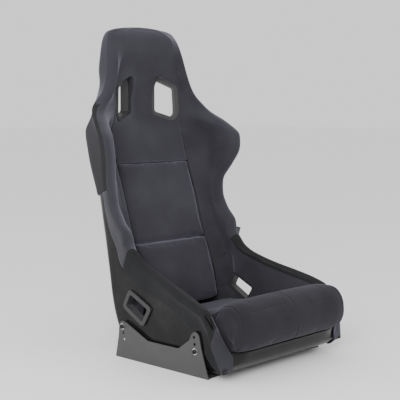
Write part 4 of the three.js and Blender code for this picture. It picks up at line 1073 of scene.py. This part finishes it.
shell_form = Swept(shell_ring, 0.0, LAST, 6)
shell_rings = behind_panels(np.array([shell_form.at(s) for s in np.linspace(0.0, LAST, 201)]))
rows, around, _ = shell_rings.shape
shell_faces = [(r * around + i, r * around + (i + 1) % around, (r + 1) * around + (i + 1) % around,
                (r + 1) * around + i) for r in range(rows - 1) for i in range(around)]
for first in (0, (rows - 1) * around):
    shell_faces += wall_cap(around // 4, first)
shell_skin = mesh_of("shell_body", shell_rings.reshape(-1, 3) * MM, shell_faces)
made = [c for side in (1, -1) for c in slot_cutters(side, False) + belt_cutters(side, False)]
BOLT_HOLES = [(337, 92), (48, 69)]
INSERT_HOLE = 7.35
BOSS = ((7.4, 229.5), (7.4, 237), (12.6, 237), (14.2, 236.6), (15, 235.6), (15, 230))     # (radius, x)


def disc(radius, centre, sides=48):
    """A round outline in a side view."""
    angles = np.linspace(0, 2 * math.pi, sides, endpoint=False)
    return [(centre[0] + radius * math.cos(a), centre[1] + radius * math.sin(a)) for a in angles]


made += [prism("cut_insert", disc(INSERT_HOLE, hole), 200, 290, across(side))
         for side in (1, -1) for hole in BOLT_HOLES]
cut(shell_skin, made)
smooth(shell_skin, 35)
paint(shell_skin, gloss)
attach(shell_skin, FRAME_BODY)
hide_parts("shell")

for side, word in ((1, "left"), (-1, "right")):
    for end, hole in zip(("rear", "front"), BOLT_HOLES):
        rings = [[across(side)(y, z, x) for y, z in disc(radius, hole)] for radius, x in BOSS + BOSS[:1]]
        boss = loft(f"boss_{end}_{word}", np.array(rings), close=False)
        smooth(boss, 40)
        paint(boss, gloss)
        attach(boss, FRAME_BODY)

# ------------------------------------------------------------------ loose cushions

STUFFING = 4.0
SKIN_VOXEL = 0.004
FRAMES = 16


def soften(obj):
    m = obj.modifiers.new("ease", "SMOOTH")
    m.iterations, m.factor = 3, 0.5
    apply_modifiers(obj)


def puff(obj, cap):
    """Swells the form as stuffed cloth, and keeps each point within cap of where it started."""
    m = obj.modifiers.new("skin", "REMESH")
    m.mode, m.voxel_size = "VOXEL", SKIN_VOXEL
    apply_modifiers(obj)
    soften(obj)
    start = np.array([v.co for v in obj.data.vertices])
    m = obj.modifiers.new("stuffing", "CLOTH")
    m.settings.use_pressure = True
    m.settings.uniform_pressure_force = STUFFING
    m.settings.effector_weights.gravity = 0
    m.settings.quality = 5
    m.collision_settings.use_collision = False
    scene = bpy.context.scene
    scene.frame_start, scene.frame_end = 1, FRAMES
    for number in range(1, FRAMES + 1):
        scene.frame_set(number)
    apply_modifiers(obj)
    scene.frame_set(1)
    move = np.array([v.co for v in obj.data.vertices]) - start
    far = np.linalg.norm(move, axis=1)
    scale = np.minimum(1.0, cap / np.maximum(far, 1e-9))
    obj.data.vertices.foreach_set("co", (start + move * scale[:, None]).ravel())
    obj.data.update()
    soften(obj)
    m = obj.modifiers.new("fine", "SUBSURF")
    m.levels = m.render_levels = 1
    apply_modifiers(obj)


def shrink(points, amount):
    """Draws a grid of points in towards the middle of its box by an amount on each side."""
    low, high = points.min(axis=(0, 1)), points.max(axis=(0, 1))
    centre = (low + high) / 2
    size = (high - low) / 2
    return centre + (points - centre) * (1 - amount / size)


SEAT_HALF = 195.0
SEAT_TOP = [(296, 118), (240, 124), (150, 139), (60, 164), (0, 188), (-30, 203), (-60, 205)]
SEAT_FRONT = [(-86, 189), (-102, 167), (-109, 138), (-107, 110), (-99, 91)]
seat_ends_in = along([(0, 0), (0.72, 0), (0.9, 3), (1, 11)])
seat_rear_at = along([(0, 313), (0.77, 313), (0.91, 296), (1, 258)])
# How far the sides spread in front of the hips, along the top and the underside, and the height that an
# end's face gathers to.
top_spread = along([(-70, 44), (-45, 39), (-25, 31), (0, 23), (40, 14), (90, 8), (140, 6), (200, 6)])
low_spread = along([(-100, 37), (-85, 32), (-60, 24), (-40, 17), (-20, 12), (0, 8), (60, 2), (140, 0)])
end_line = along([(-80, 140), (-50, 125), (0, 108), (60, 98), (150, 86), (240, 78), (290, 78)])
END_FRONT = -80


def seat_rings():
    lift = 2.6
    under = [spine_point(s, lift) - np.array([SHIFT_Y, 0]) for s in (1.35, 1.7, 2, 2.5, 3, 4, 5, 5.6)]
    foot = np.array([313.0, spine_point(6, lift)[1] + 4])
    side = under + [foot, np.array([313.0, 118.0])] + [np.array(p, float) for p in SEAT_TOP + SEAT_FRONT]
    side += [np.array([-88.0, 84.0]), np.array([-60.0, 84.0])]
    top_from = len(under) + 2
    front_from = top_from + len(SEAT_TOP)
    rings = []
    for share in np.sin(np.linspace(-math.pi / 2, math.pi / 2, 45)):
        a = abs(share)
        crown = 3 * (1 - share**2)
        inset, rear = seat_ends_in(a), seat_rear_at(a)
        ring = []
        for i, (y, z) in enumerate(side):
            low = i < top_from or i >= len(side) - 3
            half = SEAT_HALF + (low_spread(y) if low else top_spread(y))
            if y > 180:
                y = 180 + (y - 180) * (rear - 180) / 133
            if top_from <= i < front_from:
                z += crown - inset * 0.8
            if front_from <= i < len(side) - 2:
                y += inset - crown * 0.5
            if i < len(under):
                z += inset * 0.3
            ring.append(np.array([share * half, y + SHIFT_Y, z]))
        top = catmull(ring[top_from - 1:], 4)
        rings.append(resample(np.concatenate([np.array(ring[:top_from]), top[1:]]), 96))
    return np.array([end_face(rings[0], k) for k in (0.04, 0.3, 0.55, 0.78, 0.93)] + rings
                    + [end_face(rings[-1], k) for k in (0.93, 0.78, 0.55, 0.3, 0.04)])


def end_face(ring, share):
    """One row of a cushion's end, gathered towards the line half way up it."""
    row = []
    for x, y, z in ring:
        y -= SHIFT_Y
        if y < END_FRONT:
            y = END_FRONT + (y - END_FRONT) * (0.3 + 0.7 * share)
        z = end_line(y) + (z - end_line(y)) * share
        middle = SEAT_HALF + (top_spread(y) + low_spread(y)) / 2 + 4
        row.append((math.copysign(abs(x) * share + middle * (1 - share), x), y + SHIFT_Y, z))
    return np.array(row)


def back_rings(first, last):
    half = BACK_HALF - SEAM_GAP
    rings = []
    for t in np.linspace(0, 1, 36):
        s = first + (last - first) * t
        base, out = spine_point(s), square_out(s)
        lift = depth_to_face(base - np.array([SHIFT_Y, 0]), out, 0.001, 50.0)
        end = min(t, 1 - t) * (last - first) / stations_for(s, 1)
        drop = 2.5 * (1 - min(end / 7, 1)) ** 2
        crown = 6 * (1 - (2 * t - 1) ** 2) * 0.8
        profile = [(x * half, lift - drop + crown * (1 - x**2)) for x in (0, 0.2, 0.45, 0.65, 0.8, 0.9)]
        profile += [(half - 3, lift - drop), (half, lift - drop - 3), (half, lift * 0.5),
                    (half - 1.5, 3.5), (half - 6, 2.6), (half * 0.4, 2.6), (0, 2.6)]
        right = resample(np.array(profile), 52)
        both = np.concatenate([right, right[1:-1][::-1] * np.array([-1.0, 1.0])])
        rings.append([np.array([x, base[0] + out[0] * d, base[1] + out[1] * d]) for x, d in both])
    return np.array(rings)


SEAM_WIDTH = 0.0022


def press_seam(obj, line_at):
    """Presses a sewn line into a finished cushion; line_at gives each point's distance from it, and depth."""
    mesh = obj.data
    mesh.update()
    points, normals = np.empty(len(mesh.vertices) * 3), np.empty(len(mesh.vertices) * 3)
    mesh.vertices.foreach_get("co", points)
    mesh.vertex_normals.foreach_get("vector", normals)
    points, normals = points.reshape(-1, 3), normals.reshape(-1, 3)
    gap, depth = line_at(*points.T)
    pressed = depth * np.exp(-(gap / SEAM_WIDTH) ** 2)
    mesh.vertices.foreach_set("co", (points - normals * pressed[:, None]).ravel())
    mesh.update()


def cushion(name, node, rings, body, cap, cover=cloth, seams=()):
    obj = loft(name, rings)
    puff(obj, cap)
    for seam in seams:
        press_seam(obj, seam)
    smooth(obj, 75)
    paint(obj, cover)
    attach(obj, body)
    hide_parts(node)


def seat_end_seam(x, y, z):
    """The end panels' seams: over the crest and down the front roll."""
    line = 0.2165 + 0.011 * np.clip((0.2 - z) / 0.09, 0, 1)
    return np.where((z < 0.088) | (y > 0), 1.0, np.abs(np.abs(x) - line)), 0.0022


def crease(gap, depth, *spans):
    """A pressed line's distance, growing past the ends of each (value, low, high) span so that it fades out."""
    for value, low, high in spans:
        gap = gap + 0.35 * np.maximum(0, np.maximum(low - value, value - high))
    return gap, depth


def seat_middle_top(x, y, z):
    """A short crease down the middle of the front roll, over its crest."""
    return crease(np.abs(x - 0.001), 0.0013, (z, 0.178, 0.21), (y, -0.4, -0.2))


def seat_middle_foot(x, y, z):
    """The same seam again where the roll turns under."""
    return crease(np.abs(x + 0.004), 0.0011, (z, 0.09, 0.125), (y, -0.4, -0.25))


def crest_wrinkle(x, y, z):
    """A shallow pull in the cloth under the crest, beside the end panel's seam."""
    line = 0.186 + 0.02 * (x + 0.1)
    return crease(np.abs(z - line) * 0.7, 0.0012, (x, -0.17, -0.03), (y, -0.4, -0.26))


def far_wrinkle(x, y, z):
    """A fainter pull on the other side."""
    line = 0.176 - 0.03 * (x - 0.1)
    return crease(np.abs(z - line) * 0.6, 0.0008, (x, 0.06, 0.16), (y, -0.4, -0.26))


BACK_SPLIT = 10.95                               # station of the gap between the back and lumbar cushions
LUMBAR_FOOT = 8.0
# The seat cushion wears the darker copy of the seat cloth, painted shade.
cushion("seat_cushion_cover", "seat_cushion", shrink(seat_rings(), np.array([-1.5, 1.5, 1.0])),
        "seat_cushion_body", 0.003, cloth_painted_shade_seat,
        (seat_end_seam, seat_middle_top, seat_middle_foot, crest_wrinkle, far_wrinkle))
back_form = back_rings(BACK_SPLIT + stations_for(BACK_SPLIT, 0.8), CHEST_SEAM - stations_for(CHEST_SEAM, 0.6))
cushion("back_cushion_cover", "back_cushion", shrink(back_form, 0.4), "back_cushion_body", 0.0025)
lumbar_form = back_rings(LUMBAR_FOOT, BACK_SPLIT - stations_for(BACK_SPLIT, 0.8))
cushion("lumbar_cushion_cover", "lumbar_cushion", shrink(lumbar_form, 0.4), "lumbar_cushion_body", 0.0025)

# ------------------------------------------------------------------ hard parts from the frame

def keep(node, material, bevel=0.0):
    """A CAD part that shows as it is, with softened edges."""
    obj = nodes[node]
    obj.data.polygons.foreach_set("use_smooth", [True] * len(obj.data.polygons))
    if bevel:
        m = obj.modifiers.new("edges", "BEVEL")
        m.width, m.segments = bevel * MM, 2
        m.limit_method, m.angle_limit = "ANGLE", math.radians(35)
    m = obj.modifiers.new("normals", "WEIGHTED_NORMAL")
    m.keep_sharp = True
    paint(obj, material)


for word in ("left", "right"):
    keep(f"side_mount_{word}", coat, 0.5)
    for bezel in ("harness_bezel", "lap_belt_bezel", "lap_belt_inner_bezel", "harness_rear_ring"):
        keep(f"{bezel}_{word}", plastic, 1.2)
    for end in ("rear", "front"):
        keep(f"bolt_{end}_{word}", black_oxide, 0.4)
        keep(f"washer_{end}_{word}", zinc, 0.25)
        keep(f"spacer_{end}_{word}", zinc, 0.25)
        keep(f"insert_{end}_{word}", brass, 0.2)
for node in ("seat_strip_front", "seat_strip_rear", "back_strip", "lumbar_strip"):
    keep(node, tape)

def folded_tab():
    """The woven tab: a tape folded into a flat loop, sewn down along its root."""
    low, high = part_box("side_tab")
    root = low.x / MM - 1.5
    middle_y, middle_z = (low.y + high.y) / 2 / MM, (low.z + high.z) / 2 / MM + 14
    reach, half, thick = 18.0, 12.0, 1.7
    there = [(0, -2.3), (0.3, -2.4), (0.75, -2.2), (0.93, -1.5)]
    path = there + [(1.0, 0.0)] + [(u, -v) for u, v in there[::-1]]
    middle = catmull([np.array([u * reach, v]) for u, v in path], 5)
    ahead = np.gradient(middle, axis=0)
    ahead /= np.linalg.norm(ahead, axis=1, keepdims=True)
    side = np.stack([-ahead[:, 1], ahead[:, 0]], axis=1) * thick / 2
    wide = np.linspace(-half, half, 5)
    rings = []
    for (u, v), (du, dv) in zip(middle, side):
        rings.append([(root + u + du * face, middle_y + v + dv * face - w * 0.35, middle_z + w - u * 0.25)
                      for face, row in ((1, wide), (-1, wide[::-1])) for w in row])
    obj = loft("side_tab_loop", np.array(rings))
    smooth(obj, 40)
    paint(obj, tape)
    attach(obj, FRAME_BODY)
    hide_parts("side_tab")


folded_tab()

# ------------------------------------------------------------------ stage

def stage_material():
    f = Finish("pale_floor")
    cloud = f.noise(3, 3, 0.5)
    return f.set(colour=f.mix(cloud, (0.92, 0.92, 0.92, 1), (0.95, 0.95, 0.95, 1)), roughness=0.6 + 0.1 * cloud)


floor = mesh_of("floor", [(-30, -30, 0), (30, -30, 0), (30, 30, 0), (-30, 30, 0)], [(0, 1, 2, 3)])
paint(floor, stage_material())

world = bpy.data.worlds.new("studio")
bpy.context.scene.world = world
world.use_nodes = True
background = world.node_tree.nodes["Background"]
background.inputs["Color"].default_value = (1, 1, 1, 1)
background.inputs["Strength"].default_value = 1.12


def softbox(name, place, target, size, power):
    data = bpy.data.lights.new(name, "AREA")
    data.shape, data.size, data.size_y, data.energy = "RECTANGLE", size[0], size[1], power
    obj = bpy.data.objects.new(name, data)
    bpy.context.scene.collection.objects.link(obj)
    obj.location = place
    obj.rotation_euler = (Vector(target) - Vector(place)).to_track_quat("-Z", "Y").to_euler()


softbox("key", (-2.9, -1.9, 1.9), (0, 0, 0.5), (2.2, 2.2), 155)
softbox("side", (-3.0, 1.9, 1.0), (-0.2, 0, 0.3), (1.8, 1.8), 12)

# ------------------------------------------------------------------ camera

FOCAL_PX, FRAME_PX, SENSOR = 950.0, 400.0, 36.0
camera_data = bpy.data.cameras.new("camera")
camera_data.sensor_width = SENSOR
camera_data.lens = FOCAL_PX * SENSOR / FRAME_PX
camera = bpy.data.objects.new("camera", camera_data)
bpy.context.scene.collection.objects.link(camera)
azimuth, pitch = math.radians(-46.5), math.radians(5.40)
camera.location = np.array([-2043.0, SHIFT_Y - 1677.0, 712.0]) * MM
forward = Vector((-math.sin(azimuth) * math.cos(pitch), math.cos(azimuth) * math.cos(pitch), -math.sin(pitch)))
camera.rotation_euler = forward.to_track_quat("-Z", "Y").to_euler()
bpy.context.scene.camera = camera
